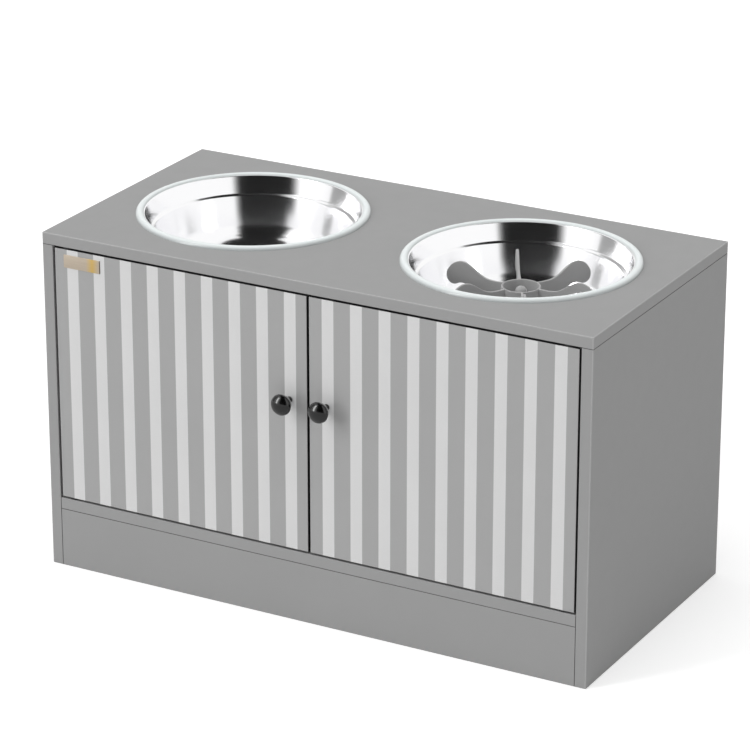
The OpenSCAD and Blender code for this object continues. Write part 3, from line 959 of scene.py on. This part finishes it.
@dataclass(frozen=True)
class TurnedFinish(Finish):
    """Polished metal on a turned piece, with fine rings about the piece's own axis."""

    axis: Triple = (0.0, 0.0, 0.0)
    spread: float = 0.02
    streak: float = 0.0
    streak_turn: float = 0.25

    def dress(self, canvas: Canvas) -> None:
        """Adds the rings, faint smears and the streaks across the rings.

        Args:
            canvas: The material in the making.
        """
        graph, shader = canvas.graph, canvas.shader
        centred = graph.add("Mapping")
        centred.inputs["Location"].default_value = [-value for value in self.axis]
        graph.wire(canvas.place, centred.inputs["Vector"])
        around = graph.add("VectorMath", operation="CROSS_PRODUCT")
        around.inputs[0].default_value = (0.0, 0.0, 1.0)
        graph.wire(centred.outputs[0], around.inputs[1])
        graph.wire(around.outputs["Vector"], shader.inputs["Tangent"])
        shader.inputs["Anisotropic"].default_value = self.streak
        shader.inputs["Anisotropic Rotation"].default_value = self.streak_turn
        lines = canvas.effect(
            Effect.TURNED_LINES, Vector=centred.outputs[0], Roughness=self.roughness, Spread=self.spread
        )
        canvas.cover(lines, lines["Roughness"], self.bump)


@dataclass(frozen=True)
class FibreFinish(Finish):
    """Brushed metal or bare wood, with lines that run one way."""

    run: Run = Run.EVEN
    fineness: float = 1500.0
    contrast: float = 0.06

    def dress(self, canvas: Canvas) -> None:
        """Adds the lines.

        Args:
            canvas: The material in the making.
        """
        fibres = canvas.effect(
            Effect.FIBRES,
            Color=self.ground(canvas),
            Stretch=self.run.value,
            Fineness=self.fineness,
            Contrast=self.contrast,
            Roughness=self.roughness,
        )
        canvas.cover(fibres, fibres["Roughness"], self.bump)


@dataclass(frozen=True)
class PlateFinish(FibreFinish):
    """Brushed plate whose champagne colour has a gold glow near its right end and painted shade along its
    right edge.
    """

    gold: Colour = display(219, 184, 104)
    glow: float = -242.5 * MM
    glow_reach: float = 7.5 * MM
    # Painted shade: a darker strip along the plate's right edge
    dark: Colour = display(92, 80, 66)
    dark_from: float = -234.2 * MM

    def ground(self, canvas: Canvas) -> bpy.types.NodeSocket:
        """Lays the glow and the painted shade of the right edge over the champagne colour.

        Args:
            canvas: The material in the making.

        Returns:
            The colour.
        """
        graph = canvas.graph
        along = graph.axes(canvas.place)["X"]
        away = graph.math("ABSOLUTE", graph.math("SUBTRACT", along, self.glow))
        glow = graph.spread(away, 1.0, 0.0, start=0.0, end=self.glow_reach)
        # Painted shade from here to the right edge
        edge = graph.math("GREATER_THAN", along, self.dark_from)
        return graph.blend(edge, graph.blend(glow, self.colour, self.gold), self.dark)


# The feeder's finishes

HARDBOARD = FilmFinish("hardboard_film", grey(150), 0.7, specular=0.3, bump=0.02 * MM, mottle=0.03)
WHITE_NYLON = FilmFinish("white_nylon", grey(232), 0.4, bump=0.01 * MM, grain=0.8 * MM)
BLACK_NYLON = FilmFinish("black_nylon", grey(38), 0.45, bump=0.01 * MM, grain=0.8 * MM)
MAGNET = FilmFinish("ferrite_magnet", grey(52), 0.5, bump=0.02 * MM, mottle=0.06)
INSERT = FilmFinish("insert_plastic", grey(174), 0.42, specular=0.25, bump=0.008 * MM, grain=0.7 * MM)
LACQUER = FilmFinish("knob_lacquer", grey(8), 0.16, coat=0.5, bump=0.002 * MM)
RUBBER = FilmFinish("suction_rubber", grey(110), 0.5, bump=0.01 * MM, grain=0.6 * MM, mottle=0.03)
RING = RingFinish(
    "rim_ring_plastic",
    display(240, 246, 246),
    0.3,
    coat=0.25,
    coat_roughness=0.15,
    bump=0.004 * MM,
    grain=1.2 * MM,
    mottle=0.008,
)
ZINC = FibreFinish("zinc_plate", display(205, 207, 212), 0.3, metallic=1.0, bump=0.004 * MM, contrast=0.1)
DOWEL_WOOD = FibreFinish(
    "bare_beech", display(216, 184, 136), 0.65, bump=0.05 * MM, run=Run.ALONG_Z, fineness=900.0, contrast=0.14
)
PLATE = PlateFinish(
    "champagne_plate",
    display(198, 184, 166),
    0.42,
    metallic=0.35,
    bump=0.004 * MM,
    run=Run.ALONG_X,
    fineness=2600.0,
    contrast=0.05,
)


# The object's pieces


@dataclass
class Dish:
    """Spun steel bowl that hangs by its rolled hem, on the left or on the right."""

    side: Side
    centre: Vector
    top_z: float
    wall: float = 0.8 * MM
    depth: float = 66 * MM
    base_r: float = 86.88 * MM
    base_curve: float = 28 * MM
    step_in: Point = (99.2 * MM, -16.6 * MM)
    step_out: Point = (102.7 * MM, -15.0 * MM)
    step_curve: float = 1.4 * MM
    mouth: Point = (108.2 * MM, 1.9 * MM)
    mouth_curve: float = 1.2 * MM
    flange: float = 4.3 * MM
    hem: float = 0.9 * MM
    hem_end: float = -150.0
    hem_steps: int = 10
    axis_r: float = 0.3 * MM
    floor_ring: Point = (52 * MM, 0.5 * MM)
    corner_steps: tuple[int, ...] = (16, 6, 6, 6)
    crease: float = 40.0

    def build(self) -> bpy.types.Object:
        """Models the bowl: rings from the middle of its floor to its hem, rounded, then given their wall.

        Returns:
            The bowl, in its place.
        """
        hem_centre = (self.mouth[0] + self.flange, self.mouth[1] - self.hem)
        ring_r, ring_rise = self.floor_ring
        corners = [(self.base_r, -self.depth), self.step_in, self.step_out, self.mouth]
        outline = [
            (self.axis_r, -self.depth + ring_rise),
            (ring_r, -self.depth + ring_rise),
            (ring_r + 2 * ring_rise, -self.depth),
            *corners,
            *arc(hem_centre, (self.hem, self.hem), 90, self.hem_end, self.hem_steps),
        ]
        piece = Bench.turned(f"{self.side.word}_bowl_spun", outline)
        self._open_mouth(piece)
        curves = (self.base_curve, self.step_curve, self.step_curve, self.mouth_curve)
        path = [(ring_r, -self.depth), *corners, (hem_centre[0], self.mouth[1])]
        for i, (curve, count) in enumerate(zip(curves, self.corner_steps)):
            width = tangent_length(path[i], path[i + 1], path[i + 2], curve)
            Bench.round_corner(piece, path[i + 1], width, count)
        Bench.modify(piece, "SOLIDIFY", thickness=self.wall, offset=-1.0, use_even_offset=True)
        Bench.place(piece, Vector((self.centre.x, self.centre.y, self.top_z)))
        Bench.smooth(piece, self.crease)
        return piece

    def _open_mouth(self, piece: bpy.types.Object) -> None:
        """Deletes the lid that closing put over the mouth and turns the shell's face to the food.

        Args:
            piece: The bowl, in edit mode.
        """
        bpy.ops.mesh.select_all(action="DESELECT")
        mesh = bmesh.from_edit_mesh(piece.data)
        lids = [face for face in mesh.faces if len(face.verts) > 4]
        lid = max(lids, key=lambda face: face.calc_area())
        lid.select_set(True)
        bmesh.update_edit_mesh(piece.data)
        bpy.ops.mesh.delete(type="FACE")
        Bench.face_out()
        mesh = bmesh.from_edit_mesh(piece.data)
        floor = min(mesh.faces, key=lambda face: Vector(face.calc_center_median().xy).length)
        if floor.normal.z < 0:
            bpy.ops.mesh.select_all(action="SELECT")
            bpy.ops.mesh.flip_normals()


@dataclass
class Knob:
    """Gloss knob: foot, stem and a head whose front is a flat dome."""

    side: Side
    place: Vector
    head_r: float = 10.75 * MM
    reach: float = 23.2 * MM
    rim_z: float = 16.6 * MM
    stem_r: float = 2.8 * MM
    foot_h: float = 1.2 * MM
    foot_w: float = 0.3 * MM
    back_z: float = 6.0 * MM
    shoulder: Point = (7.4 * MM, 9.6 * MM)
    edge: Point = (9.68 * MM, 14.0 * MM)
    bore_r: float = 1.5 * MM
    gap: float = 0.02 * MM
    soft: float = 0.3 * MM
    dome_end: float = 89.0
    dome_steps: int = 28
    crease: float = 50.0

    # Millimetres from the stem's skin at the height of the head's back, and from the head's rim
    NECK = ((0.0, -0.8), (0.15, 0.0), (1.2, 0.9))
    RIM = ((-0.3, -0.8),)

    def build(self) -> bpy.types.Object:
        """Models the knob on Z and lays it along -Y, on the door's face.

        Returns:
            The knob, in its place.
        """
        foot_r = self.stem_r + self.foot_w
        dome = (self.head_r, self.reach - self.rim_z)
        outline = [
            (self.bore_r, self.gap),
            (foot_r - self.soft, self.gap),
            (foot_r, self.soft),
            (foot_r, self.foot_h),
            (self.stem_r, self.foot_h + self.foot_w),
            *beside((self.stem_r, self.back_z), self.NECK),
            self.shoulder,
            self.edge,
            *beside((self.head_r, self.rim_z), self.RIM),
            *arc((0.0, self.rim_z), dome, 0, self.dome_end, self.dome_steps),
        ]
        piece = Bench.turned(f"{self.side.word}_knob_turned", outline)
        Bench.place(piece, self.place, (90.0, 0.0, 0.0))
        Bench.smooth(piece, self.crease)
        return piece


@dataclass
class SlowInsert:
    """Moulded slow-feed insert: a hub with a domed post and six upright fins with round paddles."""

    centre: Vector
    foot_z: float
    hub_r: float = 19.25 * MM
    hub_wall: float = 1.8 * MM
    hub_h: float = 40.8 * MM
    floor_low: float = 8 * MM
    floor_high: float = 10 * MM
    post_r: float = 5.8 * MM
    post_h: float = 40.3 * MM
    fin_t: float = 2.4 * MM
    fin_edge: float = 0.55 * MM
    fin_reach: float = 80.5 * MM
    fin_h: float = 54.3 * MM
    fin_count: int = 6
    fin_curve_steps: int = 6
    fin_edge_steps: int = 3
    axis_r: float = 0.3 * MM
    soft: float = 0.3 * MM
    lip_steps: int = 8
    dome_end: float = 88.0
    dome_steps: int = 14
    crease: float = 32.0

    # Millimetres from where the hub's wall and the post meet the floor
    WELL_CURVE = ((0.0, 1.5), (-0.45, 0.45), (-1.5, 0.0))
    POST_CURVE = ((1.2, 0.0), (0.3, 0.3), (0.0, 1.2))

    # Shares of a fin's reach and height, with a sharp corner at the first point and the last two
    OUTLINE = (
        (0.222, 0.752),
        (0.34, 0.745),
        (0.45, 0.76),
        (0.54, 0.815),
        (0.65, 0.925),
        (0.77, 1.0),
        (0.87, 0.975),
        (0.96, 0.865),
        (1.0, 0.71),
        (0.965, 0.59),
        (0.9, 0.555),
        (0.8, 0.6),
        (0.69, 0.565),
        (0.6, 0.42),
        (0.53, 0.2),
        (0.49, 0.0),
        (0.222, 0.0),
    )

    def build(self) -> bpy.types.Object:
        """Models the hub and joins the fins to it by union.

        Returns:
            The insert, in its place.
        """
        hub = self._hub()
        for number in range(self.fin_count):
            fin = self._fin(f"fin_{number}")
            Bench.place(fin, Vector(), (0.0, 0.0, 360 * number / self.fin_count))
            Bench.modify(hub, "BOOLEAN", operation="UNION", object=fin, solver="EXACT")
            bpy.data.objects.remove(fin)
        Bench.place(hub, Vector((self.centre.x, self.centre.y, self.foot_z)))
        Bench.smooth(hub, self.crease)
        return hub

    def _hub(self) -> bpy.types.Object:
        """Turns the hub with its floor, its rounded rim and the post in one outline.

        Returns:
            The hub, round the origin.
        """
        inner = self.hub_r - self.hub_wall
        lip = self.hub_wall / 2
        dome = (self.post_r, self.post_r)
        outline = [
            (self.axis_r, self.floor_low),
            (inner, self.floor_low),
            (inner, self.soft),
            (inner + self.soft, 0.0),
            (self.hub_r - self.soft, 0.0),
            (self.hub_r, self.soft),
            *arc((self.hub_r - lip, self.hub_h - lip), (lip, lip), 0, 180, self.lip_steps),
            *beside((inner, self.floor_high), self.WELL_CURVE),
            *beside((self.post_r, self.floor_high), self.POST_CURVE),
            *arc((0.0, self.post_h - self.post_r), dome, 0, self.dome_end, self.dome_steps),
        ]
        piece = Bench.turned("slow_feed_insert_moulded", outline)
        bpy.ops.object.mode_set(mode="OBJECT")
        return piece

    def _fin(self, name: str) -> bpy.types.Object:
        """Draws a fin's outline as a flat curve, gives it its thickness and soft edges, and makes it a mesh.

        Args:
            name: The fin's name.

        Returns:
            The fin, standing along X.
        """
        Bench.clear()
        bpy.ops.curve.primitive_bezier_circle_add()
        fin = bpy.context.view_layer.objects.active
        fin.name = name
        line = fin.data
        line.dimensions = "2D"
        line.fill_mode = "BOTH"
        line.resolution_u = self.fin_curve_steps
        line.extrude = self.fin_t / 2 - self.fin_edge
        line.bevel_depth = self.fin_edge
        line.bevel_resolution = self.fin_edge_steps
        line.offset = -self.fin_edge
        line.splines.clear()
        spline = line.splines.new("BEZIER")
        spline.bezier_points.add(len(self.OUTLINE) - 1)
        spline.use_cyclic_u = True
        sharp = (0, len(self.OUTLINE) - 2, len(self.OUTLINE) - 1)
        for number, (knot, (reach, height)) in enumerate(zip(spline.bezier_points, self.OUTLINE)):
            knot.co = (reach * self.fin_reach, height * self.fin_h, 0)
            knot.handle_left_type = knot.handle_right_type = "VECTOR" if number in sharp else "AUTO"
        Bench.take(fin)
        bpy.ops.object.convert(target="MESH")
        fin = bpy.context.view_layer.objects.active
        bpy.ops.object.mode_set(mode="EDIT")
        bpy.ops.mesh.select_all(action="SELECT")
        bpy.ops.mesh.remove_doubles(threshold=SAME_POINT)
        Bench.face_out()
        bpy.ops.object.mode_set(mode="OBJECT")
        Bench.place(fin, Vector(), (90.0, 0.0, 0.0))
        return fin


@dataclass
class NamePlate:
    """Small bare metal plate with softened edges, on the left door."""

    left: float = -275.5 * MM
    right: float = -233.5 * MM
    bottom: float = 322.3 * MM
    top: float = 335.7 * MM
    thickness: float = 0.5 * MM
    corner: float = 0.6 * MM
    corner_steps: int = 5
    edge: float = 0.12 * MM
    edge_steps: int = 3
    crease: float = 30.0

    def build(self, face_y: float) -> bpy.types.Object:
        """Models the plate from a cube, with round corners and soft edges.

        Args:
            face_y: Where the door's face is.

        Returns:
            The plate.
        """
        middle_x, middle_z = (self.left + self.right) / 2, (self.bottom + self.top) / 2
        Bench.clear()
        bpy.ops.mesh.primitive_cube_add(
            size=1.0,
            location=(middle_x, face_y - self.thickness / 2, middle_z),
            scale=(self.right - self.left, self.thickness, self.top - self.bottom),
        )
        bpy.ops.object.transform_apply(location=True, rotation=True, scale=True)
        piece = Bench.fresh("bare_name_plate")
        Bench.select_edges(piece, lambda a, b: abs(a.y - b.y) > self.thickness / 2)
        bpy.ops.mesh.bevel(
            offset_type="OFFSET", offset=self.corner, segments=self.corner_steps, affect="EDGES"
        )
        Bench.select_faces(piece, lambda place, normal: normal.y < -FACING)
        bpy.ops.mesh.bevel(
            offset_type="OFFSET", offset=self.edge, segments=self.edge_steps, affect="EDGES"
        )
        Bench.face_out()
        bpy.ops.object.mode_set(mode="OBJECT")
        Bench.smooth(piece, self.crease)
        return piece


# Studio


@dataclass(frozen=True)
class Softbox:
    """Soft lamp that looks at the feeder."""

    name: str
    place: Triple
    size: Point
    level: float
    shows: bool = False
    target: Triple = (0.0, 0.0, 0.2)

    def build(self) -> None:
        """Adds the lamp, with the power that lights a white card at its target to its level.

        Its own image shows in gloss and polished metal only where it is told to.
        """
        data = bpy.data.lights.new(self.name, "AREA")
        data.shape = "RECTANGLE"
        data.size, data.size_y = self.size
        away = Vector(self.target) - Vector(self.place)
        data.energy = self.level * (math.pi * away.length) ** 2
        lamp = bpy.data.objects.new(self.name, data)
        lamp.location = self.place
        lamp.rotation_mode = "QUATERNION"
        lamp.rotation_quaternion = away.to_track_quat("-Z", "Y")
        lamp.visible_glossy = self.shows
        bpy.context.scene.collection.objects.link(lamp)


@dataclass(frozen=True)
class WallPatch:
    """Patch of painted reflection that polished metal and gloss see, in degrees about the feeder.

    The azimuth of its middle runs from the front to the right, and its left and right ends fade into the white
    over their soft stretch. It is painted into the world for glossy rays and shows in a first reflection, in a
    reflection of a reflection, or in what comes after, as its look says.
    """

    azimuth: float
    half_width: float
    low: float
    high: float
    level: float
    look: int = 1
    soft: float = 2.0


@dataclass(frozen=True)
class Studio:
    """Pale floor, white surroundings, soft lamps, the painted reflections that gloss sees and the photo's
    camera.
    """

    camera_place: Triple = (1.6474, -2.98175, 1.5568)
    camera_forward: Triple = (-0.4506, 0.8138, -0.3668)
    lens: float = 177.85
    sensor: float = 36.0
    sight: float = 100.0
    ambient: float = 0.35
    floor_colour: Colour = (0.8, 0.8, 0.8, 1.0)
    floor_in_gloss: Colour = grey(190)
    floor_lift: float = 0.45
    floor_lift_in_gloss: float = 0.1
    far_lift: float = 1.0
    far_lift_in_gloss: float = 0.7
    floor_near: float = 2.5
    floor_far: float = 9.0
    floor_size: float = 60.0

    SOFTBOXES = (
        Softbox("key_left", (-6.85, -8.77, 5.2), (2.4, 11.5), 0.475, shows=True),
        Softbox("overhead", (-0.6, -0.6, 12.0), (9.0, 9.0), 0.465),
        Softbox("fill_right", (11.0, -1.0, 3.5), (6.0, 6.0), 0.156),
    )
    # Painted reflections: dark and grey patches that only gloss sees, some only in a reflection of a
    # reflection
    WALL = (
        WallPatch(15.5, 28.0, -90.0, 20.0, 0.012, soft=9.5),
        WallPatch(17.5, 27.5, 20.0, 38.0, 0.012, soft=9.5),
        WallPatch(17.5, 30.0, 38.0, 52.0, 0.012, soft=9.5),
        WallPatch(16.5, 38.0, 52.0, 67.0, 0.012, soft=9.5),
        WallPatch(0.0, 181.0, 67.0, 90.0, 0.015),
        WallPatch(198.0, 32.0, 56.5, 72.0, 0.015, soft=6.0),
        WallPatch(286.0, 8.0, -10.0, 45.0, 0.36, soft=5.0),
        WallPatch(236.0, 5.0, 10.0, 45.0, 0.4, soft=5.0),
        WallPatch(186.0, 50.5, 24.0, 90.0, 0.005, look=2, soft=16.0),
        WallPatch(12.0, 8.0, 8.0, 28.0, 0.36, look=2, soft=8.0),
        WallPatch(52.0, 4.0, 8.0, 20.0, 0.7, look=2, soft=6.0),
        WallPatch(136.0, 22.0, 6.0, 26.0, 0.05, look=3, soft=10.0),
        WallPatch(195.0, 60.0, 26.0, 90.0, 0.01, look=3, soft=12.0),
        WallPatch(287.0, 10.0, 4.0, 24.0, 0.1, look=3, soft=8.0),
    )

    def build(self) -> None:
        """Adds everything round the feeder."""
        self._camera()
        self._world()
        self._floor()
        for lamp in self.SOFTBOXES:
            lamp.build()
        bpy.context.scene.view_settings.view_transform = "Standard"

    def _camera(self) -> None:
        """Adds the camera at the photo's place."""
        data = bpy.data.cameras.new("photo_camera")
        data.lens = self.lens
        data.sensor_width = self.sensor
        data.clip_end = self.sight
        camera = bpy.data.objects.new("photo_camera", data)
        camera.location = self.camera_place
        camera.rotation_mode = "QUATERNION"
        camera.rotation_quaternion = Vector(self.camera_forward).to_track_quat("-Z", "Y")
        bpy.context.scene.collection.objects.link(camera)
        bpy.context.scene.camera = camera

    def _seen(self, graph: Graph, direct: float, in_gloss: float) -> bpy.types.NodeSocket:
        """Gives one value to rays that see the surroundings directly and one to those that see them in gloss.

        Args:
            graph: The nodes to add to.
            direct: The value for camera rays.
            in_gloss: The value for glossy and transmission rays.

        Returns:
            The value, and 0 for every other ray.
        """
        path = graph.add("LightPath")
        shine = graph.math("MAXIMUM", path.outputs["Is Glossy Ray"], path.outputs["Is Transmission Ray"])
        camera = graph.math("MULTIPLY", path.outputs["Is Camera Ray"], direct)
        return graph.math("MAXIMUM", camera, graph.math("MULTIPLY", shine, in_gloss))

    def _wall(self, graph: Graph) -> bpy.types.NodeSocket:
        """Adds what reflections see all round: white, with the patches of painted reflection.

        Args:
            graph: The world's nodes.

        Returns:
            The level that a reflection sees.
        """
        axes = graph.axes(graph.add("TexCoord").outputs["Generated"])
        azimuth = graph.math("ARCTAN2", axes["X"], graph.math("MULTIPLY", axes["Y"], -1.0))
        elevation = graph.math("ARCSINE", axes["Z"])

        # Depths are whole numbers, so each limit stands halfway between two of them
        depth = graph.add("LightPath").outputs["Glossy Depth"]
        early = graph.math("LESS_THAN", depth, 1.5)
        late = graph.math("GREATER_THAN", depth, 2.5)
        between = graph.chain("SUBTRACT", 1.0, early, late)
        looks = {1: early, 2: between, 3: late}
        level: object = 1.0
        for patch in self.WALL:
            turn = graph.math("SUBTRACT", azimuth, math.radians(patch.azimuth))
            away = graph.math("ABSOLUTE", graph.math("WRAP", turn, math.pi, -math.pi))
            edge = math.radians(patch.half_width)
            inside = graph.spread(away, 1.0, 0.0, start=edge, end=edge + math.radians(patch.soft))
            above = graph.math("GREATER_THAN", elevation, math.radians(patch.low))
            below = graph.math("LESS_THAN", elevation, math.radians(patch.high))
            shown = graph.chain("MULTIPLY", inside, above, below, looks[patch.look])
            outside = graph.math("SUBTRACT", 1.0, shown)
            square = graph.math("MULTIPLY", outside, outside)
            level = graph.math("MULTIPLY", level, graph.spread(square, patch.level, 1.0, start=0.0, end=1.0))
        return level

    def _world(self) -> None:
        """Lights the set evenly, shows white to the camera and the painted reflections to gloss.

        Only a ray that has left no matt surface sees the white and the painted reflections. Every other one
        sees the even light.
        """
        world = bpy.data.worlds.new("studio")
        bpy.context.scene.world = world
        world.use_nodes = True
        world.node_tree.nodes.clear()
        graph = Graph(world.node_tree)
        light, white = graph.add("Background"), graph.add("Background")
        light.inputs["Strength"].default_value = self.ambient
        for background in (light, white):
            background.inputs["Color"].default_value = (1.0, 1.0, 1.0, 1.0)
        seen = graph.add("LightPath").outputs["Is Camera Ray"]
        graph.wire(graph.math("MAXIMUM", seen, self._wall(graph)), white.inputs["Strength"])
        mix, out = graph.add("MixShader"), graph.add("OutputWorld")
        first = graph.math("LESS_THAN", graph.add("LightPath").outputs["Diffuse Depth"], 0.5)
        graph.wire(graph.math("MULTIPLY", self._seen(graph, 1.0, 1.0), first), mix.inputs["Fac"])
        graph.wire(light.outputs[0], mix.inputs[1])
        graph.wire(white.outputs[0], mix.inputs[2])
        graph.wire(mix.outputs[0], out.inputs["Surface"])

    def _floor(self) -> None:
        """Adds the floor, white to the camera and darker in gloss, with a shadow near the feeder."""
        Bench.clear()
        bpy.ops.mesh.primitive_grid_add(x_subdivisions=4, y_subdivisions=4, size=self.floor_size)
        floor = bpy.context.view_layer.objects.active
        floor.name = "pale_floor"
        material = bpy.data.materials.new("pale_floor")
        material.use_nodes = True
        material.node_tree.nodes.clear()
        graph = Graph(material.node_tree)
        matt, glow = graph.add("BsdfDiffuse"), graph.add("Emission")
        gloss = graph.add("LightPath").outputs["Is Glossy Ray"]
        graph.wire(graph.blend(gloss, self.floor_colour, self.floor_in_gloss), matt.inputs["Color"])
        away = graph.add("VectorMath", operation="LENGTH")
        graph.wire(graph.add("TexCoord").outputs["Object"], away.inputs[0])
        near = self._seen(graph, self.floor_lift, self.floor_lift_in_gloss)
        far = self._seen(graph, self.far_lift, self.far_lift_in_gloss)
        lift = graph.spread(away.outputs["Value"], near, far, start=self.floor_near, end=self.floor_far)
        graph.wire(lift, glow.inputs["Strength"])
        both, out = graph.add("AddShader"), graph.add("OutputMaterial")
        graph.wire(matt.outputs[0], both.inputs[0])
        graph.wire(glow.outputs[0], both.inputs[1])
        graph.wire(both.outputs[0], out.inputs["Surface"])
        floor.data.materials.append(material)


# Assembly


class Feeder:
    """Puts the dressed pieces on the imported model."""

    BOARDS = ("top_panel", "left_side_panel", "right_side_panel", "bottom_panel", "plinth_board")
    ZINC_NODES = ("cam_locks", "cam_bolts", "catch_pole_plates", "catch_screws")
    DOOR_ZINC = ("knob_screw", "pivot_pins", "strike_plate", "strike_screw")
    STRIPE_STARTS = {Side.LEFT: -272.0 * MM, Side.RIGHT: 15.25 * MM}
    PRINT_DEPTH = 0.25 * MM

    def __init__(self, frame: dict[str, object]) -> None:
        """Keeps the frame and builds the effects.
        """
        self.nodes: dict[str, bpy.types.Object] = frame["nodes"]
        self.effects = Effects()
        self.made: dict[str, bpy.types.Material] = {}

    def finish(self, piece: bpy.types.Object, finish: Finish) -> None:
        """Gives a piece its finish, in place of the one that it came with.

        Args:
            piece: The piece.
            finish: Its finish.
        """
        if finish.name not in self.made:
            self.made[finish.name] = finish.build(self.effects)
        material = self.made[finish.name]
        if piece.material_slots:
            for slot in piece.material_slots:
                slot.material = material
        else:
            piece.data.materials.append(material)

    def dress_nodes(self) -> None:
        """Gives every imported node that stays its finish."""
        face_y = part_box("left_door_panel")[0].y + self.PRINT_DEPTH
        board = BoardFinish(
            "board_film", grey(158), 0.55, specular=0.35, bump=0.006 * MM, front=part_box("top_panel")[0].y
        )
        finishes: dict[str, Finish] = {name: board for name in self.BOARDS}
        finishes.update({name: ZINC for name in self.ZINC_NODES})
        finishes.update(
            back_panel=HARDBOARD,
            dowels=DOWEL_WOOD,
            pivot_bushes=BLACK_NYLON,
            catch_housing=WHITE_NYLON,
            catch_magnets=MAGNET,
            suction_cup=RUBBER,
        )
        for side in Side:
            finishes.update({f"{side.word}_{part}": ZINC for part in self.DOOR_ZINC})
            finishes[f"{side.word}_rim_ring"] = RING
            door_low, door_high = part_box(f"{side.word}_door_panel")
            finishes[f"{side.word}_door_panel"] = StripedFinish(
                f"{side.word}_door_film",
                grey(169),
                0.5,
                specular=0.35,
                bump=0.006 * MM,
                start=self.STRIPE_STARTS[side],
                face=face_y,
                left=door_low.x,
                right=door_high.x,
                bottom=door_low.z,
                top=door_high.z,
            )
        for name, finish in finishes.items():
            self.finish(self.nodes[name], finish)
            LOG.info("%s has the finish %s", name, finish.name)

    def add(self, piece: bpy.types.Object, body: str, slot: str, finish: Finish, *stands_for: str) -> None:
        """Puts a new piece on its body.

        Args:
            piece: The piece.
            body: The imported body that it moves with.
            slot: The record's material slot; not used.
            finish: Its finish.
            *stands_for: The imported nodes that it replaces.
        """
        self.finish(piece, finish)
        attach(piece, body)
        if stands_for:
            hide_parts(*stands_for)
        LOG.info("%s rides on %s with %d faces", piece.name, body, len(piece.data.polygons))

    def build(self) -> None:
        """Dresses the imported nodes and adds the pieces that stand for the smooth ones."""
        self.dress_nodes()
        face_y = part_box("left_door_panel")[0].y
        for side in Side:
            ring_low, ring_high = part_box(f"{side.word}_rim_ring")
            centre = (ring_low + ring_high) / 2
            dish = Dish(side, centre, ring_low.z).build()
            steel = TurnedFinish(
                f"{side.word}_bowl_steel",
                display(252, 252, 253),
                0.15,
                metallic=1.0,
                bump=0.0003 * MM,
                axis=(centre.x, centre.y, 0.0),
                streak=0.6,
            )
            self.add(dish, f"{side.word}_dish", "bowl_steel", steel, f"{side.word}_bowl")
            knob_low, knob_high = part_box(f"{side.word}_knob")
            middle = (knob_low + knob_high) / 2
            knob = Knob(side, Vector((middle.x, face_y, middle.z))).build()
            self.add(knob, f"{side.word}_door", "knob_black", LACQUER, f"{side.word}_knob")
        insert_low, insert_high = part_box("slow_feed_insert")
        insert = SlowInsert((insert_low + insert_high) / 2, insert_low.z).build()
        self.add(insert, "insert", "insert_plastic", INSERT, "slow_feed_insert")
        insert.visible_glossy = False
        for side in Side:
            self.nodes[f"{side.word}_rim_ring"].visible_glossy = False
        plate = NamePlate().build(face_y)
        self.add(plate, "left_door", "zinc", PLATE)


def main() -> None:
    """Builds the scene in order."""
    logging.basicConfig(level=logging.INFO, format="%(name)s: %(message)s")
    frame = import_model()
    Studio().build()
    Feeder(frame).build()


if __name__ == "__main__":
    main()
